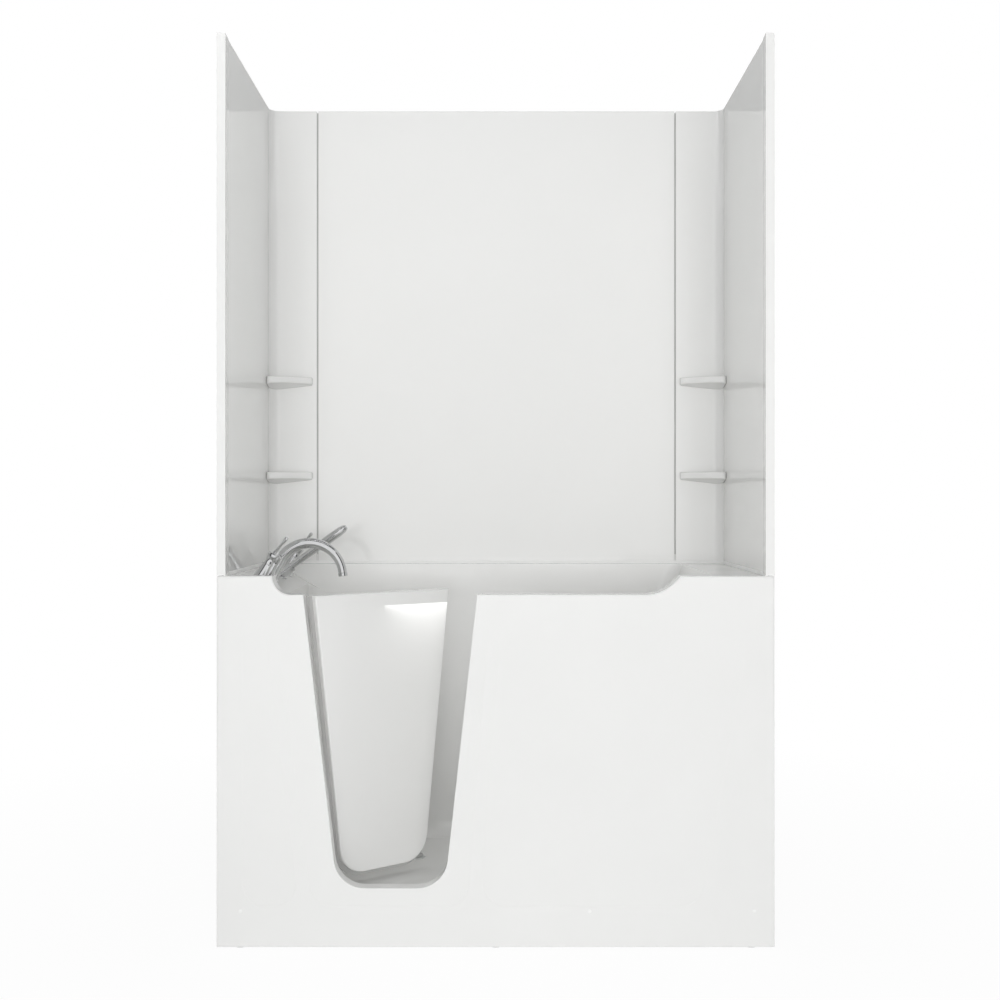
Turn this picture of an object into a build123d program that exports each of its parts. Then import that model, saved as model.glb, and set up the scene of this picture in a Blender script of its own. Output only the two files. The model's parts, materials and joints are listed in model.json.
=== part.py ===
from build123d import *
import math
import os

# Walk-in bathtub with an inward-opening door and a three-part wall surround.
# Millimetres. X runs to the right as seen from the front, Y runs to the back wall, Z is up.
# The origin is the middle of the footprint, on the floor.

# Overall size
TUB_WIDTH = 1524.0
TUB_DEPTH = 762.0
RIM_Z = 1016.0
OVERALL_HEIGHT = 2500.0
HALF_WIDTH = TUB_WIDTH / 2
HALF_DEPTH = TUB_DEPTH / 2
FRONT_Y = -HALF_DEPTH
BACK_Y = HALF_DEPTH

# Fits and small gaps
TOUCH_GAP = 0.3
PIN_CLEARANCE = 0.05
FULL_TURN = 360.0
OVERRUN = 20.0

# Acrylic tub moulding
WALL = 6.0
FRONT_WALL_DEPTH = 62.0
BACK_LEDGE = 43.0
LEFT_DECK_WIDTH = 156.0
WELL_LEFT_X = LEFT_DECK_WIDTH - HALF_WIDTH
WELL_FLOOR_Z = 134.0
FOOT_WELL_LENGTH = 586.0
RIGHT_DECK_WIDTH = 162.0
BACKREST_RUN = 170.0
SEAT_FRONT_X = WELL_LEFT_X + FOOT_WELL_LENGTH
SEAT_Z = 560.0
SEAT_BACK_X = HALF_WIDTH - RIGHT_DECK_WIDTH - BACKREST_RUN
BACKREST_TOP_X = HALF_WIDTH - RIGHT_DECK_WIDTH
WELL_CORNER_RADIUS = 50.0
SEAT_EDGE_RADIUS = 35.0
SEAT_BACK_RADIUS = 60.0
FRONT_CORNER_RADIUS = 25.0
BACK_CORNER_RADIUS = 48.0
LIP_DROP = 36.0
FLANGE_RISE = 30.0
FLANGE_THICKNESS = 3.5
FLANGE_INSET = 6.0
FACET_EDGE_INSET = 47.0
FACET_LEFT_X = FACET_EDGE_INSET - HALF_WIDTH
FACET_ANGLE = 30.0
FACET_RUN_INTO_WELL = 66.0
FITTING_RISE = 14.0

# Lowered front rim
DIP_Z = 965.0
DIP_LEFT_INSET = 151.0
DIP_RIGHT_INSET = 255.4
DIP_LEFT_X = DIP_LEFT_INSET - HALF_WIDTH
DIP_RIGHT_X = HALF_WIDTH - DIP_RIGHT_INSET
DIP_LEFT_RADIUS = 51.0
DIP_RIGHT_RADIUS = 115.0
RIM_BAND_DROP = 30.0

# Door opening in the front wall, at the front plane
OPENING_TOP_LEFT_RUN = 80.0
OPENING_BOTTOM_LEFT_RUN = 172.5
OPENING_TOP_RIGHT_INSET = 30.0
OPENING_BOTTOM_RIGHT_INSET = 119.0
OPENING_TOP_LEFT_X = WELL_LEFT_X + OPENING_TOP_LEFT_RUN
OPENING_BOTTOM_LEFT_X = WELL_LEFT_X + OPENING_BOTTOM_LEFT_RUN
OPENING_TOP_RIGHT_X = SEAT_FRONT_X - OPENING_TOP_RIGHT_INSET
OPENING_BOTTOM_RIGHT_X = SEAT_FRONT_X - OPENING_BOTTOM_RIGHT_INSET
SILL_Z = 163.0
OPENING_CORNER_RADIUS = 85.0
JAMB_LIP_DEPTH = 45.0
REBATE_WIDTH = 12.0

# Front apron
APRON_SETBACK = 1.0
APRON_THICKNESS = 4.0
APRON_TOE_GAP = 3.0
APRON_RETURN = 28.0
EMBOSS_DEPTH = 1.0
EMBOSS_TOP_Z = 850.0
EMBOSS_BOTTOM_Z = 115.0
EMBOSS_RADIUS = 60.0
EMBOSS_TOP_RADIUS = 18.0
DOOR_PANEL_XS = (WELL_LEFT_X + 14.0, WELL_LEFT_X + 103.0, SEAT_FRONT_X - 58.0, SEAT_FRONT_X - 3.0)
LEFT_PANEL_XS = (72.0 - HALF_WIDTH, 72.0 - HALF_WIDTH, WELL_LEFT_X + 66.0, WELL_LEFT_X - 22.0)
RIGHT_PANEL_XS = (SEAT_FRONT_X + 35.0, SEAT_FRONT_X - 20.0, HALF_WIDTH - 204.0, HALF_WIDTH - 75.0)
CAP_LEFT_INSET = 65.0
CAP_RIGHT_INSET = 55.0
CAP_MIDDLE_INSET = 505.0
CAP_XS = (CAP_LEFT_INSET - HALF_WIDTH, HALF_WIDTH - CAP_MIDDLE_INSET, HALF_WIDTH - CAP_RIGHT_INSET)
CAP_Z = 101.0
CAP_RADIUS = 5.5
CAP_DEPTH = 1.0
SCREW_HEAD_DEPTH = 1.4
SCREW_SHANK_RADIUS = 2.2
SCREW_LENGTH = 16.0

# Door leaf
DOOR_GAP = 3.0
DOOR_RECESS = 27.0
DOOR_TOP_DROP = 7.0
DOOR_PROUD = 2.0
DOOR_EDGE_ROUND = 5.0
DOOR_BACK_ROUND = 3.0
GASKET_THICKNESS = 1.6
DOOR_OPEN_ANGLE = 40.0

# Door hinges
HINGE_RUN = 61.0
HINGE_X = WELL_LEFT_X + HINGE_RUN
HINGE_OFF_WALL = 10.0
KNUCKLE_RADIUS = 8.0
HINGE_PIN_RADIUS = 3.0
HINGE_PIN_HEAD_RADIUS = 5.0
HINGE_PIN_HEAD_HEIGHT = 2.5
HINGE_HEIGHT = 72.0
KNUCKLE_HEIGHT = 21.0
KNUCKLE_GAP = 0.5
STRAP_THICKNESS = 4.0
UPPER_HINGE_Z = 850.0
LOWER_HINGE_Z = 290.0
STRAP_REACH_ONTO_LEAF = 80.0
BRACKET_LENGTH = 30.0

# Door latch
LATCH_Z = 721.0
LATCH_CASE_LENGTH = 86.0
LATCH_CASE_HEIGHT = 62.0
LATCH_CASE_DEPTH = 14.0
LATCH_CASE_INSET = 14.0
LEVER_PIVOT_BELOW = 10.0
LEVER_SHAFT_RADIUS = 5.0
LEVER_HUB_RADIUS = 14.0
LEVER_LENGTH = 82.0
LEVER_WIDTH = 18.0
LEVER_DEPTH = 9.0
BOLT_ABOVE = 13.0
BOLT_HEIGHT = 14.0
BOLT_DEPTH = 8.0
BOLT_TRAVEL = 18.0
KEEPER_END_SPARE = 10.0
KEEPER_WIDTH = BOLT_TRAVEL + KEEPER_END_SPARE
KEEPER_HEIGHT = 40.0
KEEPER_PLATE = 3.0
KEEPER_TONGUE_GAP = 13.0
KEEPER_OFF_REBATE = 7.0
BOLT_SETBACK = 2.0

# Wall surround
SURROUND_BASE_GAP = 2.0
FRONT_EDGE_WIDTH = 24.3
BORDER_STEP = 2.0
BORDER_TAPER = 2.0
BORDER_WIDTH = 49.0
BORDER_SLOPE = 16.0
PANEL_SKIN = 5.0
BACK_STANDOFF = 10.0
CORNER_PANEL_WIDTH = 175.0
SEAM_X = HALF_WIDTH - CORNER_PANEL_WIDTH
SEAM_GAP = 4.5
COVE_RADIUS = 35.0
BATTEN_WIDTH = 56.0
BEAD_PROUD = 4.0

# Corner shelves
SHELF_LENGTH = 164.0
SHELF_DEPTH = 92.0
SHELF_THICKNESS = 23.0
SHELF_UNDERSIDE = 18.0
UPPER_SHELF_Z = 1624.0
LOWER_SHELF_Z = 1315.0
SHELF_TIP_RADIUS = 14.0
SHELF_BULGE = 12.0

# Faucet set on the facet, from the front backwards
TAP_END_INSET = 120.0
TAP_PITCH = 110.0
HOT_Y = FRONT_Y + TAP_END_INSET
DIVERTER_Y = HOT_Y + TAP_PITCH
SPOUT_Y = DIVERTER_Y + TAP_PITCH
SHOWER_PITCH = 150.0
COLD_PITCH = 130.0
SHOWER_Y = SPOUT_Y + SHOWER_PITCH
COLD_Y = SHOWER_Y + COLD_PITCH
BELL_FOOT_RADIUS = 27.0
BELL_NECK_RADIUS = 13.0
BELL_HEIGHT = 60.0
BELL_RIM = 3.0
BELL_WAIST_RADIUS = 18.0
BELL_WAIST_HEIGHT = 14.0
HANDLE_STEM_RADIUS = 6.0
HANDLE_STEM_LENGTH = 38.0
HUB_RADIUS = 17.0
HUB_HEIGHT = 36.0
HUB_CHAMFER = 5.0
LEVER_ROD_RADIUS = 4.5
LEVER_TIP_RADIUS = 6.0
LEVER_ROD_LENGTH = 62.0
LEVER_LEAN = 22.0
LEVER_TURN = -60.0
KNOB_RADIUS = 15.0
KNOB_HEIGHT = 24.0
KNOB_FIN_WIDTH = 5.0
KNOB_FIN_HEIGHT = 9.0
SPOUT_RADIUS = 16.0
SPOUT_FOOT_RADIUS = 22.0
SPOUT_STRAIGHT = 63.5
SPOUT_BEND_RADIUS = 99.0
SPOUT_BEND_ANGLE = 144.0
SPOUT_BORE_RADIUS = 11.0
AERATOR_LENGTH = 10.0
AERATOR_WALL = 1.5
FOOT_RING_HEIGHT = 4.0
WAND_LEAN = 54.5
WAND_RADIUS = 11.0
WAND_LENGTH = 259.0
WAND_HANDLE_LENGTH = 142.0
WAND_HEAD_WIDTH = 46.0
# Along the head: share of its length, then of its thickness and width.
WAND_HEAD_SECTIONS = ((0.4, 0.94, 0.9), (0.75, 1.0, 1.0), (1.0, 0.7, 0.8))
WAND_HEAD_THICKNESS = 28.0
HOLDER_RADIUS = 17.0
HOLDER_LENGTH = 52.0
HOLDER_FLOOR = 22.0
VALVE_RADIUS = 16.0
VALVE_LENGTH = 60.0
VALVE_NECK_RADIUS = 10.0
SUPPLY_RADIUS = 10.0
SUPPLY_SHIFT = 4.0
SUPPLY_BOTTOM_Z = 150.0
INLET_RADIUS = 8.5
INLET_LENGTH = 28.0

# Drain and overflow
DRAIN_RUN = 356.0
DRAIN_X = WELL_LEFT_X + DRAIN_RUN
DRAIN_Y = 60.0
DRAIN_FLANGE_RADIUS = 34.0
DRAIN_FLANGE_THICKNESS = 3.0
DRAIN_BODY_RADIUS = 25.0
DRAIN_BORE_RADIUS = 20.0
TAILPIECE_RADIUS = 19.0
TAILPIECE_BOTTOM_Z = 22.0
TAILPIECE_TOP_Z = 36.0
STOPPER_RADIUS = 27.0
STOPPER_THICKNESS = 5.0
STOPPER_STEM_RADIUS = 4.0
STOPPER_STEM_REACH = 34.0
DRAIN_NUT_RADIUS = 33.0
DRAIN_NUT_HEIGHT = 10.0
DRAIN_TRAP_Z = 45.0
TAILPIECE_BORE_RADIUS = 15.0
GUIDE_Z = 104.0
GUIDE_HEIGHT = 4.0
GUIDE_RADIUS = 8.0
STOPPER_TRAVEL = 12.0
STOPPER_STEM_LENGTH = STOPPER_STEM_REACH + STOPPER_TRAVEL
OVERFLOW_Z = 870.0
OVERFLOW_PLATE_RADIUS = 36.0
OVERFLOW_PLATE_THICKNESS = 6.0
OVERFLOW_KNOB_RADIUS = 24.0
OVERFLOW_KNOB_LENGTH = 17.0
OVERFLOW_SHAFT_RADIUS = 4.0
OVERFLOW_SHAFT_LENGTH = 24.0
OVERFLOW_PIPE_INSET = 44.0
OVERFLOW_PIPE_X = WELL_LEFT_X - OVERFLOW_PIPE_INSET
OVERFLOW_PIPE_RADIUS = 17.0
OVERFLOW_RUN_Z = 60.0

# Jet
PUMP_Y = 100.0
PUMP_Z = 240.0
VOLUTE_RADIUS = 75.0
VOLUTE_RUN = 282.0
VOLUTE_START_X = SEAT_FRONT_X + VOLUTE_RUN
VOLUTE_LENGTH = 68.0
VOLUTE_WALL = 9.0
IMPELLER_RADIUS = 54.0
IMPELLER_HUB_RADIUS = 14.0
IMPELLER_DISC = 6.0
IMPELLER_INLET_GAP = 10.0
IMPELLER_VANES = 6
VANE_THICKNESS = 5.0
EYE_RADIUS = 20.0
DISCHARGE_RISE = 20.0
SHAFT_RADIUS = 8.0
MOTOR_RADIUS = 68.0
MOTOR_LENGTH = 190.0
SHAFT_DEPTH = 30.0
MOTOR_FOOT_WIDTH = 100.0
MOTOR_FOOT_LENGTH = 140.0
MOTOR_FOOT_INSET = 25.0
TERMINAL_BOX = 60.0
TERMINAL_BOX_RISE = 22.0
SUCTION_RADIUS = 24.0
SUCTION_COVER_RADIUS = 45.0
SUCTION_COVER_DEPTH = 8.0
SUCTION_NUT_RADIUS = 34.0
SUCTION_NUT_LENGTH = 20.0
SUCTION_HOLES = 12
SUCTION_HOLE_RADIUS = 3.5
SUCTION_HOLE_RING = 32.0
MANIFOLD_RADIUS = 12.0
MANIFOLD_INSET = 19.0
MANIFOLD_Y = BACK_Y - MANIFOLD_INSET
DISCHARGE_RADIUS = 20.0
LOWER_RUN_Z = 400.0
UPPER_RUN_Z = 640.0
SEAT_JET_RUN = 120.0
SEAT_JET_PITCH = 150.0
SEAT_JET_XS = (SEAT_FRONT_X + SEAT_JET_RUN, SEAT_FRONT_X + SEAT_JET_RUN + SEAT_JET_PITCH)
SEAT_JET_Z = 700.0
FOOT_JET_RUN = 126.0
FOOT_JET_PITCH = 120.0
FOOT_JET_XS = (WELL_LEFT_X + FOOT_JET_RUN, WELL_LEFT_X + FOOT_JET_RUN + FOOT_JET_PITCH)
FOOT_JET_Z = 260.0
JET_RING_RADIUS = 30.0
JET_BODY_RADIUS = 20.0
JET_BODY_LENGTH = 30.0
JET_RING_THICKNESS = 5.0
JET_BORE_DEPTH = 22.0
SPIGOT_RADIUS = 7.0
SPIGOT_SHIFT = 4.0
NOZZLE_RADIUS = 12.0
NOZZLE_DEPTH = 18.0
NOZZLE_PROUD = 4.0
NOZZLE_OUTLET_RADIUS = 3.5
NOZZLE_OUTLET_SHIFT = 5.0
BUTTON_RUN = 270.0
BUTTON_X = SEAT_FRONT_X + BUTTON_RUN
BUTTON_Z = 885.0
BUTTON_RADIUS = 15.0
BUTTON_RING_RADIUS = 24.0
BUTTON_BARREL_RADIUS = 18.0
BUTTON_BARREL_LENGTH = 32.0
BUTTON_PROUD = 4.0
BUTTON_DEPTH = 14.0
BUTTON_BORE_DEPTH = 25.0

# Steel frame and feet
TUBE = 30.0
TUBE_WALL = 2.0
RAIL_BOTTOM_Z = 50.0
FRAME_END_GAP = 12.0
FRAME_HALF_LENGTH = HALF_WIDTH - FRAME_END_GAP
FRONT_RAIL_INSET = 26.0
BACK_RAIL_INSET = 21.0
FRONT_RAIL_Y = FRONT_Y + FRONT_RAIL_INSET
BACK_RAIL_Y = BACK_Y - BACK_RAIL_INSET
FIRST_RAIL_RUN = 65.0
SECOND_RAIL_RUN = 380.0
LAST_RAIL_INSET = 207.0
CROSS_RAIL_XS = (
    SEAT_FRONT_X + FIRST_RAIL_RUN,
    SEAT_FRONT_X + SECOND_RAIL_RUN,
    HALF_WIDTH - LAST_RAIL_INSET,
)
SEAT_LEG_FRONT_INSET = 76.0
SEAT_LEG_BACK_INSET = 66.0
SEAT_LEG_YS = (FRONT_Y + SEAT_LEG_FRONT_INSET, BACK_Y - SEAT_LEG_BACK_INSET)
BEARER_LEFT_RUN = 206.0
BEARER_RIGHT_INSET = 110.0
BEARER_XS = (WELL_LEFT_X + BEARER_LEFT_RUN, SEAT_FRONT_X - BEARER_RIGHT_INSET)
BEARER_WIDTH = 40.0
FOOT_END_INSET = 62.0
FOOT_XS = (FOOT_END_INSET - HALF_WIDTH, 0.0, HALF_WIDTH - FOOT_END_INSET)
FOOT_PAD_RADIUS = 20.0
FOOT_PAD_THICKNESS = 10.0
STUD_RADIUS = 6.0
FOOT_NUT_SIZE = 19.0
STUD_ENGAGEMENT = 8.0
FOOT_NUT_HEIGHT = 8.0
BOARD_THICKNESS = 12.0
BOARD_WIDTH = 140.0
TAB_WIDTH = 30.0
TAB_RISE = 15.0

# Places worked out from the sizes above
WELL_FRONT_Y = FRONT_Y + FRONT_WALL_DEPTH
WELL_BACK_Y = BACK_Y - BACK_LEDGE
APRON_FACE_Y = FRONT_Y + APRON_SETBACK
APRON_BACK_Y = APRON_FACE_Y + APRON_THICKNESS
RAIL_TOP_Z = RAIL_BOTTOM_Z + TUBE
HINGE_Y = WELL_FRONT_Y + HINGE_OFF_WALL
LIP_BACK_Y = FRONT_Y + JAMB_LIP_DEPTH
LEAF_FACE_Y = FRONT_Y + DOOR_RECESS
LEAF_STEP_Y = LIP_BACK_Y + GASKET_THICKNESS + TOUCH_GAP
LEAF_BACK_Y = WELL_FRONT_Y + DOOR_PROUD
LEAF_TOP_Z = DIP_Z - DOOR_TOP_DROP
BORDER_FACE_X = HALF_WIDTH - FRONT_EDGE_WIDTH
SIDE_FACE_X = BORDER_FACE_X + BORDER_TAPER + BORDER_STEP
BACK_FACE_Y = BACK_Y - BACK_STANDOFF
PANEL_BASE_Z = RIM_Z + SURROUND_BASE_GAP
FACET_SLOPE = math.tan(math.radians(FACET_ANGLE))
FITTING_SHIFT = FITTING_RISE * math.cos(math.radians(FACET_ANGLE))
FITTING_X = (FACET_LEFT_X + WELL_LEFT_X) / 2 - FITTING_SHIFT
FITTING_Z = RIM_Z - (FITTING_X - FACET_LEFT_X) * FACET_SLOPE
ON_FLOOR = (Align.CENTER, Align.CENTER, Align.MIN)


def box_between(x_low, x_high, y_low, y_high, z_low, z_high):
    """Box given by its lowest and highest corners."""
    middle = Pos((x_low + x_high) / 2, (y_low + y_high) / 2, (z_low + z_high) / 2)
    return middle * Box(x_high - x_low, y_high - y_low, z_high - z_low)


def post(radius, height):
    """Upright cylinder that starts at its own origin."""
    return Cylinder(radius, height, align=ON_FLOOR)


def rod(start, end, radius):
    """Cylinder from one point to another."""
    run = Vector(*end) - Vector(*start)
    return Plane(origin=start, z_dir=run).location * post(radius, run.length)


def rounded_face(points, radii):
    """Flat face with a corner radius for each point."""
    return make_face(FilletPolyline(*points, radius=radii, close=True))


def elevation_solid(face, y_low, y_high):
    """Prism of a face drawn in X and Z, between two depths."""
    return extrude(Plane.XZ.offset(-y_high) * face, amount=y_high - y_low)


def turned(points):
    """Solid of revolution about Z from a half outline of (radius, height) points."""
    return revolve(Plane.XZ * make_face(Polyline(*points, close=True)), axis=Axis.Z)


def pipe_run(points, radius):
    """Round pipe through points, with ball-shaped elbows."""
    run = rod(points[0], points[1], radius)
    for start, end in zip(points[1:], points[2:]):
        run = run + Pos(*start) * Sphere(radius) + rod(start, end, radius)
    return run


def square_tube(start, end):
    """Open-ended square tube along X, Y or Z between two centre points."""
    run = Vector(*end) - Vector(*start)
    outer = Box(TUBE, TUBE, run.length, align=ON_FLOOR)
    hollow = TUBE - 2 * TUBE_WALL
    inner = Box(hollow, hollow, run.length, align=ON_FLOOR)
    return Plane(origin=start, x_dir=cross_direction(run), z_dir=run).location * (outer - inner)


def cross_direction(run):
    """Axis direction at right angles to a run that lies along one axis."""
    return (0, 1, 0) if abs(run.X) > abs(run.Y) else (1, 0, 0)


def facet_place(y):
    """Place on the sloping faucet facet, with its own Z square to the facet."""
    lean = math.radians(FACET_ANGLE)
    along = (math.cos(lean), 0, -math.sin(lean))
    square = (math.sin(lean), 0, math.cos(lean))
    return Plane(origin=(FITTING_X, y, FITTING_Z), x_dir=along, z_dir=square).location


def wand_place():
    """Place of the hand shower, with its own Z along the handle."""
    lean = math.radians(WAND_LEAN)
    along = (math.cos(lean), 0, -math.sin(lean))
    upwards = (math.sin(lean), 0, math.cos(lean))
    return Plane(origin=(FITTING_X, SHOWER_Y, FITTING_Z), x_dir=along, z_dir=upwards).location


def wall_place(x, z):
    """Place on the back wall of the basin, with its own Z pointing to the front."""
    return Plane(origin=(x, WELL_BACK_Y, z), x_dir=(1, 0, 0), z_dir=(0, -1, 0)).location


def opening_face(inset, top_z):
    """Door outline, moved inwards by inset on both sides and at the sill."""
    height = DIP_Z - SILL_Z
    left_run = (OPENING_BOTTOM_LEFT_X - OPENING_TOP_LEFT_X) / height
    right_run = (OPENING_TOP_RIGHT_X - OPENING_BOTTOM_RIGHT_X) / height
    bottom_z = SILL_Z + inset
    left_inset = inset * math.hypot(1, left_run)
    right_inset = inset * math.hypot(1, right_run)

    def left_x(z):
        return OPENING_TOP_LEFT_X + (DIP_Z - z) * left_run + left_inset

    def right_x(z):
        return OPENING_TOP_RIGHT_X - (DIP_Z - z) * right_run - right_inset

    corners = [
        (left_x(top_z), top_z),
        (left_x(bottom_z), bottom_z),
        (right_x(bottom_z), bottom_z),
        (right_x(top_z), top_z),
    ]
    round_corner = OPENING_CORNER_RADIUS - inset
    return rounded_face(corners, [0, round_corner, round_corner, 0])


def leaf_edge_x(z, side):
    """X of the leaf's outer edge at a height, side -1 for the hinge side and 1 for the free side."""
    height = DIP_Z - SILL_Z
    if side < 0:
        run = (OPENING_BOTTOM_LEFT_X - OPENING_TOP_LEFT_X) / height
        return OPENING_TOP_LEFT_X + (DIP_Z - z) * run - REBATE_WIDTH + DOOR_GAP
    run = (OPENING_TOP_RIGHT_X - OPENING_BOTTOM_RIGHT_X) / height
    return OPENING_TOP_RIGHT_X - (DIP_Z - z) * run + REBATE_WIDTH - DOOR_GAP


def dip_face(above):
    """Area above the lowered front rim, up to a height above the rim."""
    top_z = RIM_Z + above
    corner_x = DIP_RIGHT_X - (RIM_Z - DIP_Z)
    points = [
        (DIP_LEFT_X, top_z),
        (DIP_LEFT_X, DIP_Z),
        (corner_x, DIP_Z),
        (DIP_RIGHT_X + above, top_z),
    ]
    return rounded_face(points, [0, DIP_LEFT_RADIUS, DIP_RIGHT_RADIUS, 0])


def front_face(half_width, bottom_z):
    """Whole front face under the rim line, dip included."""
    whole = Pos(0, (RIM_Z + bottom_z) / 2) * Rectangle(2 * half_width, RIM_Z - bottom_z)
    return whole - dip_face(OVERRUN)


def basin(grow):
    """Space inside the basin, or its outside when it grows by the wall."""
    rise = RIM_Z + OVERRUN
    lean = (BACKREST_TOP_X - SEAT_BACK_X) / (RIM_Z - SEAT_Z)
    points = [
        (WELL_LEFT_X, rise),
        (WELL_LEFT_X, WELL_FLOOR_Z),
        (SEAT_FRONT_X, WELL_FLOOR_Z),
        (SEAT_FRONT_X, SEAT_Z),
        (SEAT_BACK_X, SEAT_Z),
        (SEAT_BACK_X + (rise - SEAT_Z) * lean, rise),
    ]
    radii = [0, WELL_CORNER_RADIUS, WELL_CORNER_RADIUS, SEAT_EDGE_RADIUS, SEAT_BACK_RADIUS, 0]
    profile = rounded_face(points, radii)
    if grow > 0:
        profile = offset(profile, amount=grow, kind=Kind.INTERSECTION)
    solid = elevation_solid(profile, WELL_FRONT_Y - grow, WELL_BACK_Y + grow)
    top_face = solid.faces().sort_by(Axis.Z)[-1]
    front_edges = solid.faces().sort_by(Axis.Y)[0].edges() - top_face.edges()
    solid = fillet(front_edges, FRONT_CORNER_RADIUS + grow)
    top_face = solid.faces().sort_by(Axis.Z)[-1]
    back_edges = solid.faces().sort_by(Axis.Y)[-1].edges() - top_face.edges()
    return fillet(back_edges, BACK_CORNER_RADIUS + grow)


def facet_space(grow):
    """Space above the faucet facet, or its outside when it grows by the wall."""
    drop = grow / math.cos(math.radians(FACET_ANGLE))
    left_x = FACET_LEFT_X - grow
    right_x = WELL_LEFT_X + FACET_RUN_INTO_WELL
    top_z = RIM_Z if grow > 0 else RIM_Z + OVERRUN
    points = [
        (left_x, top_z),
        (left_x, RIM_Z + grow * FACET_SLOPE - drop),
        (right_x, RIM_Z - (right_x - FACET_LEFT_X) * FACET_SLOPE - drop),
        (right_x, top_z),
    ]
    face = make_face(Polyline(*points, close=True))
    return elevation_solid(face, WELL_FRONT_Y - grow, WELL_BACK_Y + grow)


def door_frame_solid():
    """Material round the door opening, from the apron to the inside of the front wall."""
    lip = elevation_solid(opening_face(-WALL, DIP_Z), APRON_BACK_Y, LIP_BACK_Y)
    rebate_back_y = LIP_BACK_Y - WALL
    rebate_wall = opening_face(-REBATE_WIDTH - WALL, DIP_Z)
    return lip + elevation_solid(rebate_wall, rebate_back_y, WELL_FRONT_Y)


def door_frame_space():
    """Doorway through the front wall, with the wider rebate on the inside."""
    top_z = DIP_Z + OVERRUN
    doorway = elevation_solid(opening_face(0, top_z), FRONT_Y - OVERRUN, WELL_FRONT_Y + OVERRUN)
    rebate = elevation_solid(
        opening_face(-REBATE_WIDTH, top_z), LIP_BACK_Y, WELL_FRONT_Y + FRONT_CORNER_RADIUS
    )
    return doorway + rebate


def tub_shell():
    """One-piece moulding: deck, rolled edges, basin, facet, front wall and door frame."""
    deck = box_between(-HALF_WIDTH, HALF_WIDTH, APRON_BACK_Y, BACK_Y, RIM_Z - WALL, RIM_Z)
    shell = deck + basin(WALL) + facet_space(WALL)
    above_rim = box_between(
        -TUB_WIDTH, TUB_WIDTH, -TUB_DEPTH, TUB_DEPTH, RIM_Z, RIM_Z + TUB_DEPTH
    )
    shell = shell - above_rim
    lip_z = RIM_Z - LIP_DROP
    for side in (-1, 1):
        edge_x = sorted((side * HALF_WIDTH, side * (HALF_WIDTH - WALL)))
        shell = shell + box_between(*edge_x, APRON_BACK_Y + APRON_RETURN, BACK_Y, lip_z, RIM_Z)
        flange_out = HALF_WIDTH - FLANGE_INSET
        flange_x = sorted((side * flange_out, side * (flange_out - FLANGE_THICKNESS)))
        flange_front_y = FRONT_Y + BORDER_WIDTH
        shell = shell + box_between(*flange_x, flange_front_y, BACK_Y, RIM_Z, RIM_Z + FLANGE_RISE)
    shell = shell + box_between(-HALF_WIDTH, HALF_WIDTH, BACK_Y - WALL, BACK_Y, lip_z, RIM_Z)
    flange_half = HALF_WIDTH - FLANGE_INSET
    shell = shell + box_between(
        -flange_half, flange_half, BACK_Y - FLANGE_THICKNESS, BACK_Y, RIM_Z, RIM_Z + FLANGE_RISE
    )
    band_half = HALF_WIDTH - WALL
    band_outer = front_face(band_half, SILL_Z)
    band_inner = offset(band_outer, amount=-WALL, kind=Kind.INTERSECTION)
    band = elevation_solid(band_outer - band_inner, APRON_BACK_Y, WELL_FRONT_Y)
    below_band = box_between(
        -HALF_WIDTH, HALF_WIDTH, FRONT_Y, WELL_FRONT_Y + OVERRUN, 0, DIP_Z - RIM_BAND_DROP
    )
    shell = shell + (band - below_band) + door_frame_solid()
    shell = shell - elevation_solid(dip_face(OVERRUN), FRONT_Y - OVERRUN, WELL_FRONT_Y)
    shell = shell - basin(0) - facet_space(0) - door_frame_space()
    return shell - fitting_holes()


def fitting_holes():
    """Holes in the moulding for taps, jets, suction, drain, overflow and push button."""
    through = WALL + OVERRUN
    holes = []
    for y in (HOT_Y, DIVERTER_Y, SPOUT_Y, SHOWER_Y, COLD_Y):
        holes.append(facet_place(y) * Pos(0, 0, -through / 2) * post(VALVE_NECK_RADIUS, through))
    jet_hole = Pos(0, 0, -through / 2) * post(JET_BODY_RADIUS, through)
    for x, z in jet_places():
        holes.append(wall_place(x, z) * jet_hole)
    riser_low = (SEAT_FRONT_X - through, PUMP_Y, PUMP_Z)
    riser_high = (SEAT_FRONT_X + through, PUMP_Y, PUMP_Z)
    holes.append(rod(riser_low, riser_high, SUCTION_RADIUS))
    drain_top = Pos(DRAIN_X, DRAIN_Y, WELL_FLOOR_Z - through / 2)
    holes.append(drain_top * post(DRAIN_BODY_RADIUS, through))
    overflow_low = (WELL_LEFT_X - through, DRAIN_Y, OVERFLOW_Z)
    overflow_high = (WELL_LEFT_X + through, DRAIN_Y, OVERFLOW_Z)
    holes.append(rod(overflow_low, overflow_high, OVERFLOW_PIPE_RADIUS))
    button_low = (BUTTON_X, WELL_FRONT_Y - through, BUTTON_Z)
    button_high = (BUTTON_X, WELL_FRONT_Y + through, BUTTON_Z)
    holes.append(rod(button_low, button_high, BUTTON_BARREL_RADIUS))
    return holes


def jet_places():
    """X and Z of each jet on the back wall."""
    seat = [(x, SEAT_JET_Z) for x in SEAT_JET_XS]
    foot = [(x, FOOT_JET_Z) for x in FOOT_JET_XS]
    return seat + foot


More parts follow.
